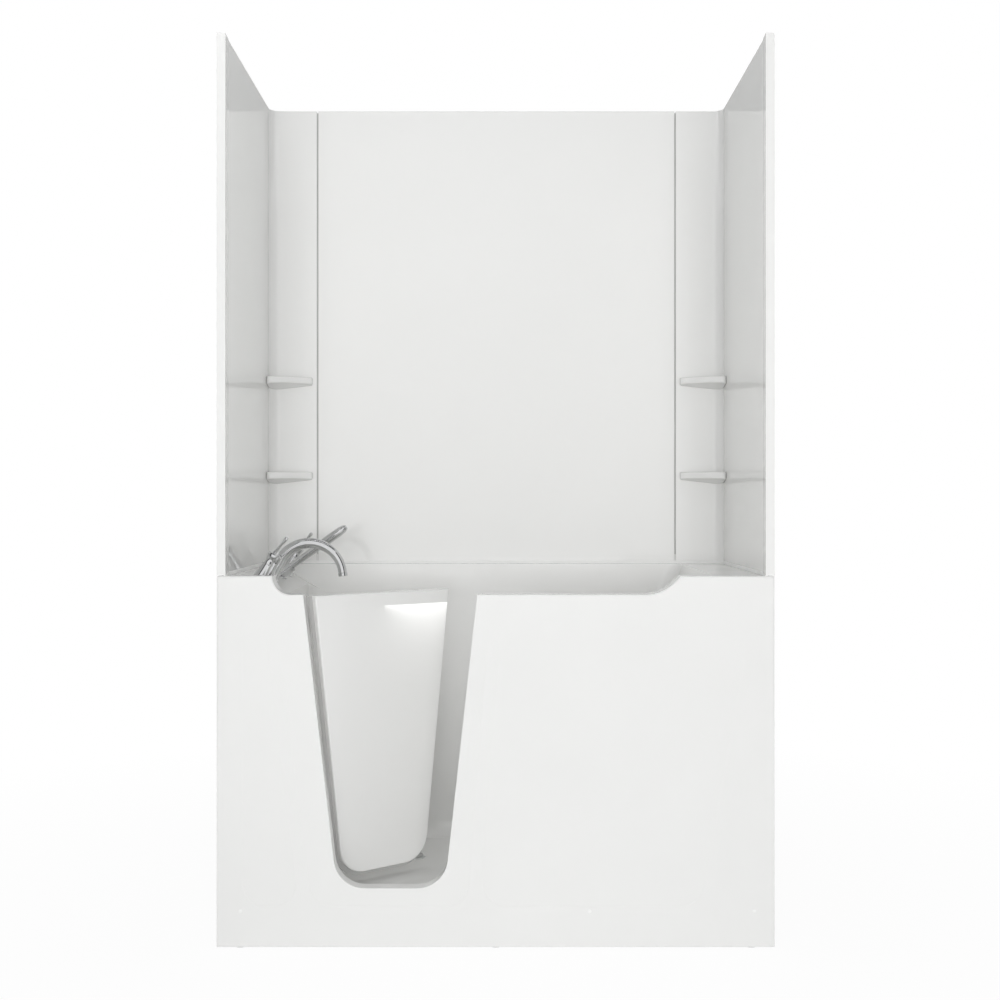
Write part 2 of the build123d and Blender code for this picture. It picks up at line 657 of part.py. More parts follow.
def front_apron():
    """Skirt panel with the door cut-out, shallow sunk panels and screw holes."""
    face = front_face(HALF_WIDTH, APRON_TOE_GAP)
    apron = elevation_solid(face, APRON_FACE_Y, APRON_BACK_Y)
    return_back_y = APRON_BACK_Y + APRON_RETURN - TOUCH_GAP
    for side in (-1, 1):
        edge_x = sorted((side * HALF_WIDTH, side * (HALF_WIDTH - APRON_THICKNESS)))
        apron = apron + box_between(
            *edge_x, APRON_BACK_Y, return_back_y, APRON_TOE_GAP, RIM_Z - WALL
        )
    doorway = opening_face(0, DIP_Z + OVERRUN)
    apron = apron - elevation_solid(doorway, FRONT_Y - OVERRUN, APRON_BACK_Y)
    for left_top, left_bottom, right_bottom, right_top in (
        DOOR_PANEL_XS,
        LEFT_PANEL_XS,
        RIGHT_PANEL_XS,
    ):
        corners = [
            (left_top, EMBOSS_TOP_Z),
            (left_bottom, EMBOSS_BOTTOM_Z),
            (right_bottom, EMBOSS_BOTTOM_Z),
            (right_top, EMBOSS_TOP_Z),
        ]
        radii = [EMBOSS_TOP_RADIUS, EMBOSS_RADIUS, EMBOSS_RADIUS, EMBOSS_TOP_RADIUS]
        sunk = rounded_face(corners, radii)
        apron = apron - elevation_solid(sunk, FRONT_Y, APRON_FACE_Y + EMBOSS_DEPTH)
    recess_depth = CAP_DEPTH + SCREW_HEAD_DEPTH
    for x in CAP_XS:
        front = (x, APRON_FACE_Y + EMBOSS_DEPTH, CAP_Z)
        apron = apron - rod((x, FRONT_Y, CAP_Z), (x, APRON_FACE_Y + recess_depth, CAP_Z), CAP_RADIUS)
        apron = apron - rod(front, (x, APRON_BACK_Y, CAP_Z), SCREW_SHANK_RADIUS)
    return apron


def apron_screws():
    """Screw behind each cap, through the apron into a tab on the frame."""
    screws = []
    for x in CAP_XS:
        head_y = APRON_FACE_Y + CAP_DEPTH
        neck_y = head_y + SCREW_HEAD_DEPTH
        head = rod((x, head_y, CAP_Z), (x, neck_y, CAP_Z), CAP_RADIUS - CAP_DEPTH)
        shank = rod((x, neck_y, CAP_Z), (x, neck_y + SCREW_LENGTH, CAP_Z), SCREW_SHANK_RADIUS)
        screws.append(head + shank)
    return screws


def apron_caps():
    """Round push-in cap over each screw, standing a little proud of the apron."""
    cap_back_y = APRON_FACE_Y + CAP_DEPTH
    return [rod((x, FRONT_Y, CAP_Z), (x, cap_back_y, CAP_Z), CAP_RADIUS) for x in CAP_XS]


def swung(solid):
    """Piece of the closed door, turned to the open position it has at rest."""
    to_hinge = Pos(HINGE_X, HINGE_Y, 0)
    from_hinge = Pos(-HINGE_X, -HINGE_Y, 0)
    return to_hinge * Rot(0, 0, DOOR_OPEN_ANGLE) * from_hinge * solid


def door_leaf():
    """Stepped leaf: a plug in the opening and a wider back that closes on the rebate."""
    plug = elevation_solid(opening_face(DOOR_GAP, LEAF_TOP_Z), LEAF_FACE_Y, LEAF_STEP_Y)
    plug = fillet(plug.faces().sort_by(Axis.Y)[0].edges(), DOOR_EDGE_ROUND)
    back_face = opening_face(DOOR_GAP - REBATE_WIDTH, LEAF_TOP_Z)
    back = elevation_solid(back_face, LEAF_STEP_Y, LEAF_BACK_Y)
    back = fillet(back.faces().sort_by(Axis.Y)[-1].edges(), DOOR_BACK_ROUND)
    return swung(plug + back)


def door_gasket():
    """Flat seal on the step of the leaf, round both sides and the sill."""
    outer = opening_face(DOOR_GAP - REBATE_WIDTH + TOUCH_GAP, LEAF_TOP_Z)
    inner = opening_face(DOOR_GAP, LEAF_TOP_Z + OVERRUN)
    return swung(elevation_solid(outer - inner, LIP_BACK_Y + TOUCH_GAP, LEAF_STEP_Y))


def door_hinge_straps():
    """Middle knuckle and strap of each hinge, screwed to the back of the leaf."""
    straps = []
    for base_z in (UPPER_HINGE_Z, LOWER_HINGE_Z):
        low_z = base_z + KNUCKLE_HEIGHT + KNUCKLE_GAP
        high_z = base_z + HINGE_HEIGHT - KNUCKLE_HEIGHT - KNUCKLE_GAP
        end_x = leaf_edge_x(base_z, -1) + STRAP_REACH_ONTO_LEAF
        plate_back_y = LEAF_BACK_Y + STRAP_THICKNESS
        plate = box_between(HINGE_X, end_x, LEAF_BACK_Y, plate_back_y, low_z, high_z)
        knuckle = Pos(HINGE_X, HINGE_Y, low_z) * post(KNUCKLE_RADIUS, high_z - low_z)
        bore = Pos(HINGE_X, HINGE_Y, low_z) * post(HINGE_PIN_RADIUS + PIN_CLEARANCE, high_z - low_z)
        straps.append(swung(plate + knuckle - bore))
    return straps


def hinge_brackets():
    """Outer knuckles and fixed plate of each hinge, on the inside of the front wall."""
    brackets = []
    for base_z in (UPPER_HINGE_Z, LOWER_HINGE_Z):
        plate = box_between(
            HINGE_X - BRACKET_LENGTH,
            HINGE_X,
            WELL_FRONT_Y,
            WELL_FRONT_Y + STRAP_THICKNESS,
            base_z,
            base_z + HINGE_HEIGHT,
        )
        bracket = plate + Pos(HINGE_X, HINGE_Y, base_z) * post(KNUCKLE_RADIUS, HINGE_HEIGHT)
        slot_height = HINGE_HEIGHT - 2 * KNUCKLE_HEIGHT
        slot_radius = KNUCKLE_RADIUS + 2 * KNUCKLE_GAP
        slot = Pos(HINGE_X, HINGE_Y, base_z + KNUCKLE_HEIGHT) * post(slot_radius, slot_height)
        bore = Pos(HINGE_X, HINGE_Y, base_z) * post(HINGE_PIN_RADIUS, HINGE_HEIGHT)
        brackets.append(bracket - slot - bore)
    return brackets


def hinge_pins():
    """Headed pin through each hinge."""
    pins = []
    for base_z in (UPPER_HINGE_Z, LOWER_HINGE_Z):
        shank = post(HINGE_PIN_RADIUS, HINGE_HEIGHT)
        head = Pos(0, 0, HINGE_HEIGHT) * post(HINGE_PIN_HEAD_RADIUS, HINGE_PIN_HEAD_HEIGHT)
        pins.append(Pos(HINGE_X, HINGE_Y, base_z) * (shank + head))
    return pins


CASE_HIGH_X = leaf_edge_x(LATCH_Z, 1) - LATCH_CASE_INSET
CASE_LOW_X = CASE_HIGH_X - LATCH_CASE_LENGTH
CASE_BACK_Y = LEAF_BACK_Y + LATCH_CASE_DEPTH
BOLT_Y = LEAF_BACK_Y + LATCH_CASE_DEPTH / 2
BOLT_Z = LATCH_Z + BOLT_ABOVE
BOLT_LOW_X = CASE_LOW_X + WALL
BOLT_HIGH_X = leaf_edge_x(LATCH_Z, 1) - BOLT_SETBACK
LEVER_PIVOT = ((CASE_LOW_X + CASE_HIGH_X) / 2, LATCH_Z - LEVER_PIVOT_BELOW)


def latch_bolt_block(clearance, high_x):
    """Bolt of the latch, or its channel when given a clearance."""
    half_depth = BOLT_DEPTH / 2 + clearance
    half_height = BOLT_HEIGHT / 2 + clearance
    return box_between(
        BOLT_LOW_X - clearance,
        high_x,
        BOLT_Y - half_depth,
        BOLT_Y + half_depth,
        BOLT_Z - half_height,
        BOLT_Z + half_height,
    )


def latch_case():
    """Case on the back of the leaf, with the bolt channel and the lever's bearing."""
    case = box_between(
        CASE_LOW_X,
        CASE_HIGH_X,
        LEAF_BACK_Y,
        CASE_BACK_Y,
        LATCH_Z - LATCH_CASE_HEIGHT / 2,
        LATCH_Z + LATCH_CASE_HEIGHT / 2,
    )
    case = fillet(case.edges().filter_by(Axis.Y), WALL)
    bearing_start = (LEVER_PIVOT[0], LEAF_BACK_Y + WALL / 2, LEVER_PIVOT[1])
    bearing_end = (LEVER_PIVOT[0], CASE_BACK_Y, LEVER_PIVOT[1])
    bearing = rod(bearing_start, bearing_end, LEVER_SHAFT_RADIUS + PIN_CLEARANCE)
    return swung(case - latch_bolt_block(TOUCH_GAP, CASE_HIGH_X) - bearing)


def latch_lever():
    """Turning lever with its short shaft in the case."""
    x, z = LEVER_PIVOT
    hub_y = CASE_BACK_Y + TOUCH_GAP
    back_y = hub_y + LEVER_DEPTH
    shaft = rod((x, LEAF_BACK_Y + WALL / 2 + TOUCH_GAP, z), (x, hub_y, z), LEVER_SHAFT_RADIUS)
    hub = rod((x, hub_y, z), (x, back_y, z), LEVER_HUB_RADIUS)
    half_width = LEVER_WIDTH / 2
    tip_z = z - LEVER_LENGTH + half_width
    arm = box_between(x - half_width, x + half_width, hub_y, back_y, tip_z, z)
    tip = rod((x, hub_y, tip_z), (x, back_y, tip_z), half_width)
    return swung(shaft + hub + arm + tip)


def latch_keeper():
    """Hooked strike on the inside of the front wall, for the bolt to slide behind."""
    right_run = (OPENING_TOP_RIGHT_X - OPENING_BOTTOM_RIGHT_X) / (DIP_Z - SILL_Z)
    rebate_x = OPENING_TOP_RIGHT_X - (DIP_Z - BOLT_Z) * right_run + REBATE_WIDTH
    low_x = rebate_x + KEEPER_OFF_REBATE
    high_x = low_x + KEEPER_WIDTH
    low_z = BOLT_Z - KEEPER_HEIGHT / 2
    high_z = BOLT_Z + KEEPER_HEIGHT / 2
    tongue_y = WELL_FRONT_Y + KEEPER_PLATE + KEEPER_TONGUE_GAP
    plate = box_between(low_x, high_x, WELL_FRONT_Y, WELL_FRONT_Y + KEEPER_PLATE, low_z, high_z)
    tongue = box_between(low_x, high_x, tongue_y, tongue_y + KEEPER_PLATE, low_z, high_z)
    web_low_x = high_x - KEEPER_PLATE
    web = box_between(web_low_x, high_x, WELL_FRONT_Y, tongue_y + KEEPER_PLATE, low_z, high_z)
    return plate + tongue + web


def mirrored_pair(solid, side):
    """Right-hand piece as it is, or its mirror image on the left."""
    return solid if side > 0 else mirror(solid, about=Plane.YZ)


def corner_panel(side):
    """Side wall panel that turns the corner onto the back wall, with a raised front border."""
    seam = SEAM_X + SEAM_GAP / 2
    back_y = BACK_FACE_Y + PANEL_SKIN
    outer_x = SIDE_FACE_X + PANEL_SKIN
    border_y = FRONT_Y + BORDER_WIDTH
    points = [
        (seam, BACK_FACE_Y),
        (SIDE_FACE_X, BACK_FACE_Y),
        (SIDE_FACE_X, border_y + BORDER_SLOPE),
        (BORDER_FACE_X + BORDER_TAPER, border_y),
        (BORDER_FACE_X, FRONT_Y),
        (outer_x, FRONT_Y),
        (outer_x, back_y),
        (seam, back_y),
    ]
    radii = [0, COVE_RADIUS, 0, 0, 0, 0, COVE_RADIUS + PANEL_SKIN, 0]
    skin = extrude(rounded_face(points, radii), amount=OVERALL_HEIGHT - PANEL_BASE_Z)
    panel = Pos(0, 0, PANEL_BASE_Z) * skin
    edge_y = FRONT_Y + PANEL_SKIN
    panel = panel + box_between(
        BORDER_FACE_X, HALF_WIDTH, FRONT_Y, edge_y, PANEL_BASE_Z, OVERALL_HEIGHT
    )
    cap_z = OVERALL_HEIGHT - PANEL_SKIN
    panel = panel + box_between(SIDE_FACE_X, HALF_WIDTH, FRONT_Y, BACK_Y, cap_z, OVERALL_HEIGHT)
    panel = panel + box_between(seam, HALF_WIDTH, BACK_FACE_Y, BACK_Y, cap_z, OVERALL_HEIGHT)
    return mirrored_pair(panel, side)


def back_panel():
    """Centre back panel between the two seams, with a turned top edge."""
    half = SEAM_X - SEAM_GAP / 2
    skin_y = BACK_FACE_Y + PANEL_SKIN
    skin = box_between(-half, half, BACK_FACE_Y, skin_y, PANEL_BASE_Z, OVERALL_HEIGHT)
    cap_z = OVERALL_HEIGHT - PANEL_SKIN
    return skin + box_between(-half, half, BACK_FACE_Y, BACK_Y, cap_z, OVERALL_HEIGHT)


def seam_battens():
    """Flat strip behind each seam that joins two panels."""
    low_z = RIM_Z + FLANGE_RISE + TOUCH_GAP
    high_z = OVERALL_HEIGHT - PANEL_SKIN - TOUCH_GAP
    half = BATTEN_WIDTH / 2
    low_y = BACK_FACE_Y + PANEL_SKIN
    return [
        box_between(x - half, x + half, low_y, BACK_Y, low_z, high_z) for x in (-SEAM_X, SEAM_X)
    ]


def sealant_bead():
    """Line of sealant on the rim, under the panels and a little in front of them."""
    outer_x = SIDE_FACE_X + PANEL_SKIN
    outer_y = BACK_FACE_Y + PANEL_SKIN
    inner_x = SIDE_FACE_X - BEAD_PROUD
    inner_y = BACK_FACE_Y - BEAD_PROUD
    front_y = FRONT_Y + PANEL_SKIN
    outer = make_face(
        Polyline(
            (-outer_x, front_y), (-outer_x, outer_y), (outer_x, outer_y), (outer_x, front_y), close=True
        )
    )
    inner_points = [(-inner_x, FRONT_Y), (-inner_x, inner_y), (inner_x, inner_y), (inner_x, FRONT_Y)]
    inner_radius = COVE_RADIUS - BEAD_PROUD
    inner = rounded_face(inner_points, [0, inner_radius, inner_radius, 0])
    return Pos(0, 0, RIM_Z) * extrude(outer - inner, amount=SURROUND_BASE_GAP)


def corner_shelf(side, top_z):
    """Corner shelf with a gently curved front edge and a sloping underside."""
    corner = Vector(SIDE_FACE_X, BACK_FACE_Y)
    tip = Vector(SIDE_FACE_X - SHELF_LENGTH, BACK_FACE_Y)
    near = Vector(SIDE_FACE_X, BACK_FACE_Y - SHELF_DEPTH)
    chord = (near - tip).normalized()
    square = Vector(chord.Y, -chord.X)
    if square.dot(corner - tip) < 0:
        square = -square
    middle = (tip + near) / 2
    outline = Line(tip, corner) + Line(corner, near)
    outline = outline + ThreePointArc(near, middle - square * SHELF_BULGE, tip)
    plan = make_face(outline)
    plan = fillet(plan.vertices().sort_by_distance(corner)[0], COVE_RADIUS + TOUCH_GAP)
    for end in (tip, near):
        plan = fillet(plan.vertices().sort_by_distance(end)[0], SHELF_TIP_RADIUS)
    depth = SHELF_THICKNESS + SHELF_UNDERSIDE
    shelf = Pos(0, 0, top_z - depth) * extrude(plan, amount=depth)
    reach = (corner - tip).dot(square)
    slope = Vector(square.X * reach, square.Y * reach, -SHELF_UNDERSIDE)
    down = chord.cross(slope)
    if down.Z > 0:
        down = -down
    start = Vector(middle.X, middle.Y, top_z - SHELF_THICKNESS)
    cutter = Box(3 * SHELF_LENGTH, 3 * SHELF_LENGTH, SHELF_LENGTH, align=ON_FLOOR)
    shelf = shelf - Plane(origin=start, x_dir=chord, z_dir=down).location * cutter
    return mirrored_pair(shelf, side)


def tap_bell(y):
    """Bell-shaped base on the facet, bored for a handle stem."""
    outline = [
        (0, 0),
        (BELL_FOOT_RADIUS, 0),
        (BELL_FOOT_RADIUS, BELL_RIM),
        (BELL_WAIST_RADIUS, BELL_WAIST_HEIGHT),
        (BELL_NECK_RADIUS, BELL_HEIGHT),
        (0, BELL_HEIGHT),
    ]
    bore_depth = HANDLE_STEM_LENGTH
    bore = Pos(0, 0, BELL_HEIGHT - bore_depth) * post(HANDLE_STEM_RADIUS + PIN_CLEARANCE, bore_depth)
    return facet_place(y) * (turned(outline) - bore)


def stem():
    """Stem of a handle or knob, from inside its bell up to the hub."""
    return Pos(0, 0, BELL_HEIGHT - HANDLE_STEM_LENGTH + TOUCH_GAP) * post(
        HANDLE_STEM_RADIUS, HANDLE_STEM_LENGTH
    )


def tap_handle(y):
    """Lever handle: stem, round hub and a thin lever that leans away from the facet."""
    low = BELL_HEIGHT + TOUCH_GAP
    high = low + HUB_HEIGHT
    hub = turned(
        [
            (0, low),
            (HUB_RADIUS - HUB_CHAMFER / 2, low),
            (HUB_RADIUS, low + HUB_CHAMFER),
            (HUB_RADIUS, high - 2 * HUB_CHAMFER),
            (HUB_RADIUS - HUB_CHAMFER, high),
            (0, high),
        ]
    )
    lean = math.radians(LEVER_LEAN)
    turn = math.radians(LEVER_TURN)
    across = math.sin(lean) * LEVER_ROD_LENGTH
    start = (0, 0, high - HUB_CHAMFER)
    end = (
        across * math.cos(turn),
        across * math.sin(turn),
        high - HUB_CHAMFER + math.cos(lean) * LEVER_ROD_LENGTH,
    )
    lever = rod(start, end, LEVER_ROD_RADIUS) + Pos(*end) * Sphere(LEVER_TIP_RADIUS)
    return facet_place(y) * (stem() + hub + lever)


def diverter_knob():
    """Round knob with a raised grip fin."""
    low = BELL_HEIGHT + TOUCH_GAP
    high = low + KNOB_HEIGHT
    knob = turned(
        [
            (0, low),
            (KNOB_RADIUS - HUB_CHAMFER / 2, low),
            (KNOB_RADIUS, low + HUB_CHAMFER),
            (KNOB_RADIUS, high - HUB_CHAMFER),
            (KNOB_RADIUS - HUB_CHAMFER, high),
            (0, high),
        ]
    )
    fin = Pos(0, 0, high - HUB_CHAMFER) * Box(
        2 * (KNOB_RADIUS - HUB_CHAMFER / 2), KNOB_FIN_WIDTH, KNOB_FIN_HEIGHT, align=ON_FLOOR
    )
    return facet_place(DIVERTER_Y) * (stem() + knob + fin)


def spout():
    """Arched spout: tapered riser, round bend and outlet ring."""
    base = facet_place(SPOUT_Y)
    foot = post(BELL_FOOT_RADIUS, FOOT_RING_HEIGHT)
    riser = Cone(SPOUT_FOOT_RADIUS, SPOUT_RADIUS, SPOUT_STRAIGHT, align=ON_FLOOR)
    bend_centre = (base * Pos(SPOUT_BEND_RADIUS, 0, SPOUT_STRAIGHT)).position
    bend_start = base * Pos(0, 0, SPOUT_STRAIGHT)
    bend = revolve(bend_start * Circle(SPOUT_RADIUS), Axis(bend_centre, (0, 1, 0)), SPOUT_BEND_ANGLE)
    outlet = Pos(*bend_centre) * Rot(0, SPOUT_BEND_ANGLE, 0) * Pos(*(-bend_centre)) * bend_start
    ring = outlet * post(SPOUT_RADIUS + AERATOR_WALL, AERATOR_LENGTH)
    bore = outlet * Pos(0, 0, -AERATOR_LENGTH) * post(SPOUT_BORE_RADIUS, 2 * AERATOR_LENGTH)
    return base * (foot + riser) + bend + ring - bore


def shower_holder():
    """Tilted socket on the facet that the hand shower stands in."""
    foot = facet_place(SHOWER_Y) * post(BELL_FOOT_RADIUS, FOOT_RING_HEIGHT)
    socket = wand_place() * post(HOLDER_RADIUS, HOLDER_LENGTH)
    below = facet_place(SHOWER_Y) * Pos(0, 0, -HOLDER_LENGTH) * Box(
        2 * HOLDER_LENGTH, 2 * HOLDER_LENGTH, HOLDER_LENGTH, align=ON_FLOOR
    )
    bore = wand_place() * Pos(0, 0, HOLDER_FLOOR) * post(WAND_RADIUS + TOUCH_GAP, HOLDER_LENGTH)
    return foot + socket - below - bore


def hand_shower():
    """Straight handle that swells into a flattened oblong head."""
    low = HOLDER_FLOOR + TOUCH_GAP
    handle = Pos(0, 0, low) * post(WAND_RADIUS, WAND_HANDLE_LENGTH - low)
    half_thick = WAND_HEAD_THICKNESS / 2
    half_wide = WAND_HEAD_WIDTH / 2
    head_length = WAND_LENGTH - WAND_HANDLE_LENGTH
    sections = [Pos(0, 0, WAND_HANDLE_LENGTH) * Circle(WAND_RADIUS)]
    for along, thick, wide in WAND_HEAD_SECTIONS:
        section = Ellipse(half_thick * thick, half_wide * wide)
        sections.append(Pos(0, 0, WAND_HANDLE_LENGTH + head_length * along) * section)
    return wand_place() * (handle + loft(sections))


def valve_bodies():
    """Hot and cold valves under the facet, each with its neck up through the moulding."""
    valves = []
    for y in (HOT_Y, COLD_Y):
        neck = Pos(0, 0, -WALL) * post(VALVE_NECK_RADIUS, WALL)
        body = Pos(0, 0, -WALL - VALVE_LENGTH) * post(VALVE_RADIUS, VALVE_LENGTH)
        valves.append(facet_place(y) * (neck + body))
    return valves


def mounting_shanks():
    """Short shank and nut under the diverter, the spout and the shower holder."""
    shanks = []
    for y in (DIVERTER_Y, SPOUT_Y, SHOWER_Y):
        neck = Pos(0, 0, -WALL) * post(VALVE_NECK_RADIUS, WALL)
        nut = Pos(0, 0, -WALL - BELL_WAIST_HEIGHT) * post(VALVE_RADIUS, BELL_WAIST_HEIGHT)
        shanks.append(facet_place(y) * (neck + nut))
    return shanks


def supply_pipes():
    """Upright hot and cold supply pipes under each valve, with a thinner inlet end."""
    pipes = []
    for y, valve in zip((HOT_Y, COLD_Y), valve_bodies()):
        valve_end = (facet_place(y) * Pos(0, 0, -WALL - VALVE_LENGTH)).position
        x = valve_end.X + SUPPLY_SHIFT
        inlet_top_z = SUPPLY_BOTTOM_Z + INLET_LENGTH
        pipe = rod((x, y, inlet_top_z), (x, y, valve_end.Z), SUPPLY_RADIUS)
        inlet = rod((x, y, SUPPLY_BOTTOM_Z), (x, y, inlet_top_z), INLET_RADIUS)
        pipes.append(pipe + inlet - valve)
    return pipes


def drain_body():
    """Drain flange, body, lock nut and tailpiece, with a guide bar for the stopper."""
    flange_top = WELL_FLOOR_Z + DRAIN_FLANGE_THICKNESS
    body = Pos(0, 0, WELL_FLOOR_Z) * post(DRAIN_FLANGE_RADIUS, DRAIN_FLANGE_THICKNESS)
    body = body + Pos(0, 0, TAILPIECE_TOP_Z) * post(DRAIN_BODY_RADIUS, WELL_FLOOR_Z - TAILPIECE_TOP_Z)
    nut_z = WELL_FLOOR_Z - WALL - DRAIN_NUT_HEIGHT
    body = body + Pos(0, 0, nut_z) * post(DRAIN_NUT_RADIUS, DRAIN_NUT_HEIGHT)
    tail_height = TAILPIECE_TOP_Z - TAILPIECE_BOTTOM_Z
    body = body + Pos(0, 0, TAILPIECE_BOTTOM_Z) * post(TAILPIECE_RADIUS, tail_height)
    body = body - Pos(0, 0, DRAIN_TRAP_Z) * post(DRAIN_BORE_RADIUS, flange_top - DRAIN_TRAP_Z)
    tail_bore_height = DRAIN_TRAP_Z - TAILPIECE_BOTTOM_Z
    body = body - Pos(0, 0, TAILPIECE_BOTTOM_Z) * post(TAILPIECE_BORE_RADIUS, tail_bore_height)
    bar_length = DRAIN_BORE_RADIUS + DRAIN_BODY_RADIUS
    bar = Pos(0, 0, GUIDE_Z) * Box(bar_length, GUIDE_RADIUS, GUIDE_HEIGHT, align=ON_FLOOR)
    bar = bar + Pos(0, 0, GUIDE_Z) * post(GUIDE_RADIUS, GUIDE_HEIGHT)
    bar = bar - Pos(0, 0, GUIDE_Z) * post(STOPPER_STEM_RADIUS + PIN_CLEARANCE, GUIDE_HEIGHT)
    return Pos(DRAIN_X, DRAIN_Y, 0) * (body + bar)


def drain_stopper():
    """Disc that closes the drain, on a stem that slides in the guide bar."""
    seat_z = WELL_FLOOR_Z + DRAIN_FLANGE_THICKNESS + TOUCH_GAP
    disc = Pos(0, 0, seat_z) * post(STOPPER_RADIUS, STOPPER_THICKNESS)
    shank = Pos(0, 0, seat_z - STOPPER_STEM_LENGTH) * post(STOPPER_STEM_RADIUS, STOPPER_STEM_LENGTH)
    return Pos(DRAIN_X, DRAIN_Y, 0) * (disc + shank)


PLATE_FRONT_X = WELL_LEFT_X + OVERFLOW_PLATE_THICKNESS


def overflow_plate():
    """Round cover over the overflow hole, bored for the knob's shaft."""
    back = (WELL_LEFT_X, DRAIN_Y, OVERFLOW_Z)
    front = (PLATE_FRONT_X, DRAIN_Y, OVERFLOW_Z)
    return rod(back, front, OVERFLOW_PLATE_RADIUS) - rod(
        back, front, OVERFLOW_SHAFT_RADIUS + PIN_CLEARANCE
    )


def overflow_knob():
    """Turning knob that works the drain stopper, with its shaft through the plate."""
    back_x = PLATE_FRONT_X + TOUCH_GAP
    shaft_x = back_x - OVERFLOW_SHAFT_LENGTH
    grip = rod(
        (back_x, DRAIN_Y, OVERFLOW_Z),
        (back_x + OVERFLOW_KNOB_LENGTH, DRAIN_Y, OVERFLOW_Z),
        OVERFLOW_KNOB_RADIUS,
    )
    fin_low = OVERFLOW_Z - OVERFLOW_KNOB_RADIUS - OVERFLOW_SHAFT_RADIUS
    fin = box_between(
        back_x,
        back_x + OVERFLOW_KNOB_LENGTH,
        DRAIN_Y - OVERFLOW_SHAFT_RADIUS,
        DRAIN_Y + OVERFLOW_SHAFT_RADIUS,
        fin_low,
        OVERFLOW_Z,
    )
    shaft = rod((shaft_x, DRAIN_Y, OVERFLOW_Z), (back_x, DRAIN_Y, OVERFLOW_Z), OVERFLOW_SHAFT_RADIUS)
    return grip + fin + shaft


def overflow_pipe():
    """Pipe from the overflow down behind the wall and across to the drain body."""
    run = pipe_run(
        [
            (WELL_LEFT_X, DRAIN_Y, OVERFLOW_Z),
            (OVERFLOW_PIPE_X, DRAIN_Y, OVERFLOW_Z),
            (OVERFLOW_PIPE_X, DRAIN_Y, OVERFLOW_RUN_Z),
            (DRAIN_X, DRAIN_Y, OVERFLOW_RUN_Z),
        ],
        OVERFLOW_PIPE_RADIUS,
    )
    shaft_room = rod(
        (WELL_LEFT_X - OVERFLOW_SHAFT_LENGTH, DRAIN_Y, OVERFLOW_Z),
        (WELL_LEFT_X, DRAIN_Y, OVERFLOW_Z),
        OVERFLOW_SHAFT_RADIUS + TOUCH_GAP,
    )
    body = Pos(DRAIN_X, DRAIN_Y, TAILPIECE_TOP_Z) * post(DRAIN_BODY_RADIUS, WELL_FLOOR_Z)
    return run - shaft_room - body


def pump_place():
    """Place of the pump's inlet face, with its own Z along the shaft."""
    return Plane(
        origin=(VOLUTE_START_X, PUMP_Y, PUMP_Z), x_dir=(0, 1, 0), z_dir=(1, 0, 0)
    ).location


DISCHARGE_X = VOLUTE_START_X + VOLUTE_LENGTH / 2
DISCHARGE_TOP_Z = PUMP_Z + VOLUTE_RADIUS + DISCHARGE_RISE


def pump_volute():
    """Hollow pump casing with an inlet eye, a shaft hole and an upward outlet."""
    cavity_length = VOLUTE_LENGTH - 2 * VOLUTE_WALL
    casing = post(VOLUTE_RADIUS, VOLUTE_LENGTH)
    casing = pump_place() * casing + rod(
        (DISCHARGE_X, PUMP_Y, PUMP_Z), (DISCHARGE_X, PUMP_Y, DISCHARGE_TOP_Z), DISCHARGE_RADIUS
    )
    cavity = Pos(0, 0, VOLUTE_WALL) * post(VOLUTE_RADIUS - VOLUTE_WALL, cavity_length)
    eye = post(EYE_RADIUS, VOLUTE_WALL)
    shaft_hole = Pos(0, 0, VOLUTE_WALL + cavity_length) * post(SHAFT_RADIUS + PIN_CLEARANCE, VOLUTE_WALL)
    return casing - pump_place() * (cavity + eye + shaft_hole)


def pump_impeller():
    """Vaned disc on the pump shaft."""
    vane_low = VOLUTE_WALL + IMPELLER_INLET_GAP
    disc_low = VOLUTE_LENGTH - VOLUTE_WALL - IMPELLER_INLET_GAP - IMPELLER_DISC
    disc = Pos(0, 0, disc_low) * post(IMPELLER_RADIUS, IMPELLER_DISC)
    hub = Pos(0, 0, vane_low) * post(IMPELLER_HUB_RADIUS, disc_low - vane_low)
    impeller = disc + hub
    vane_reach = IMPELLER_RADIUS - VANE_THICKNESS
    for index in range(IMPELLER_VANES):
        vane = Pos(vane_reach / 2, 0, vane_low) * Box(
            vane_reach, VANE_THICKNESS, disc_low - vane_low, align=ON_FLOOR
        )
        impeller = impeller + Rot(0, 0, index * FULL_TURN / IMPELLER_VANES) * vane
    shaft_length = VOLUTE_LENGTH + SHAFT_DEPTH - TOUCH_GAP - disc_low
    return pump_place() * (impeller + Pos(0, 0, disc_low) * post(SHAFT_RADIUS, shaft_length))


BOARD_TOP_Z = RAIL_TOP_Z + BOARD_THICKNESS


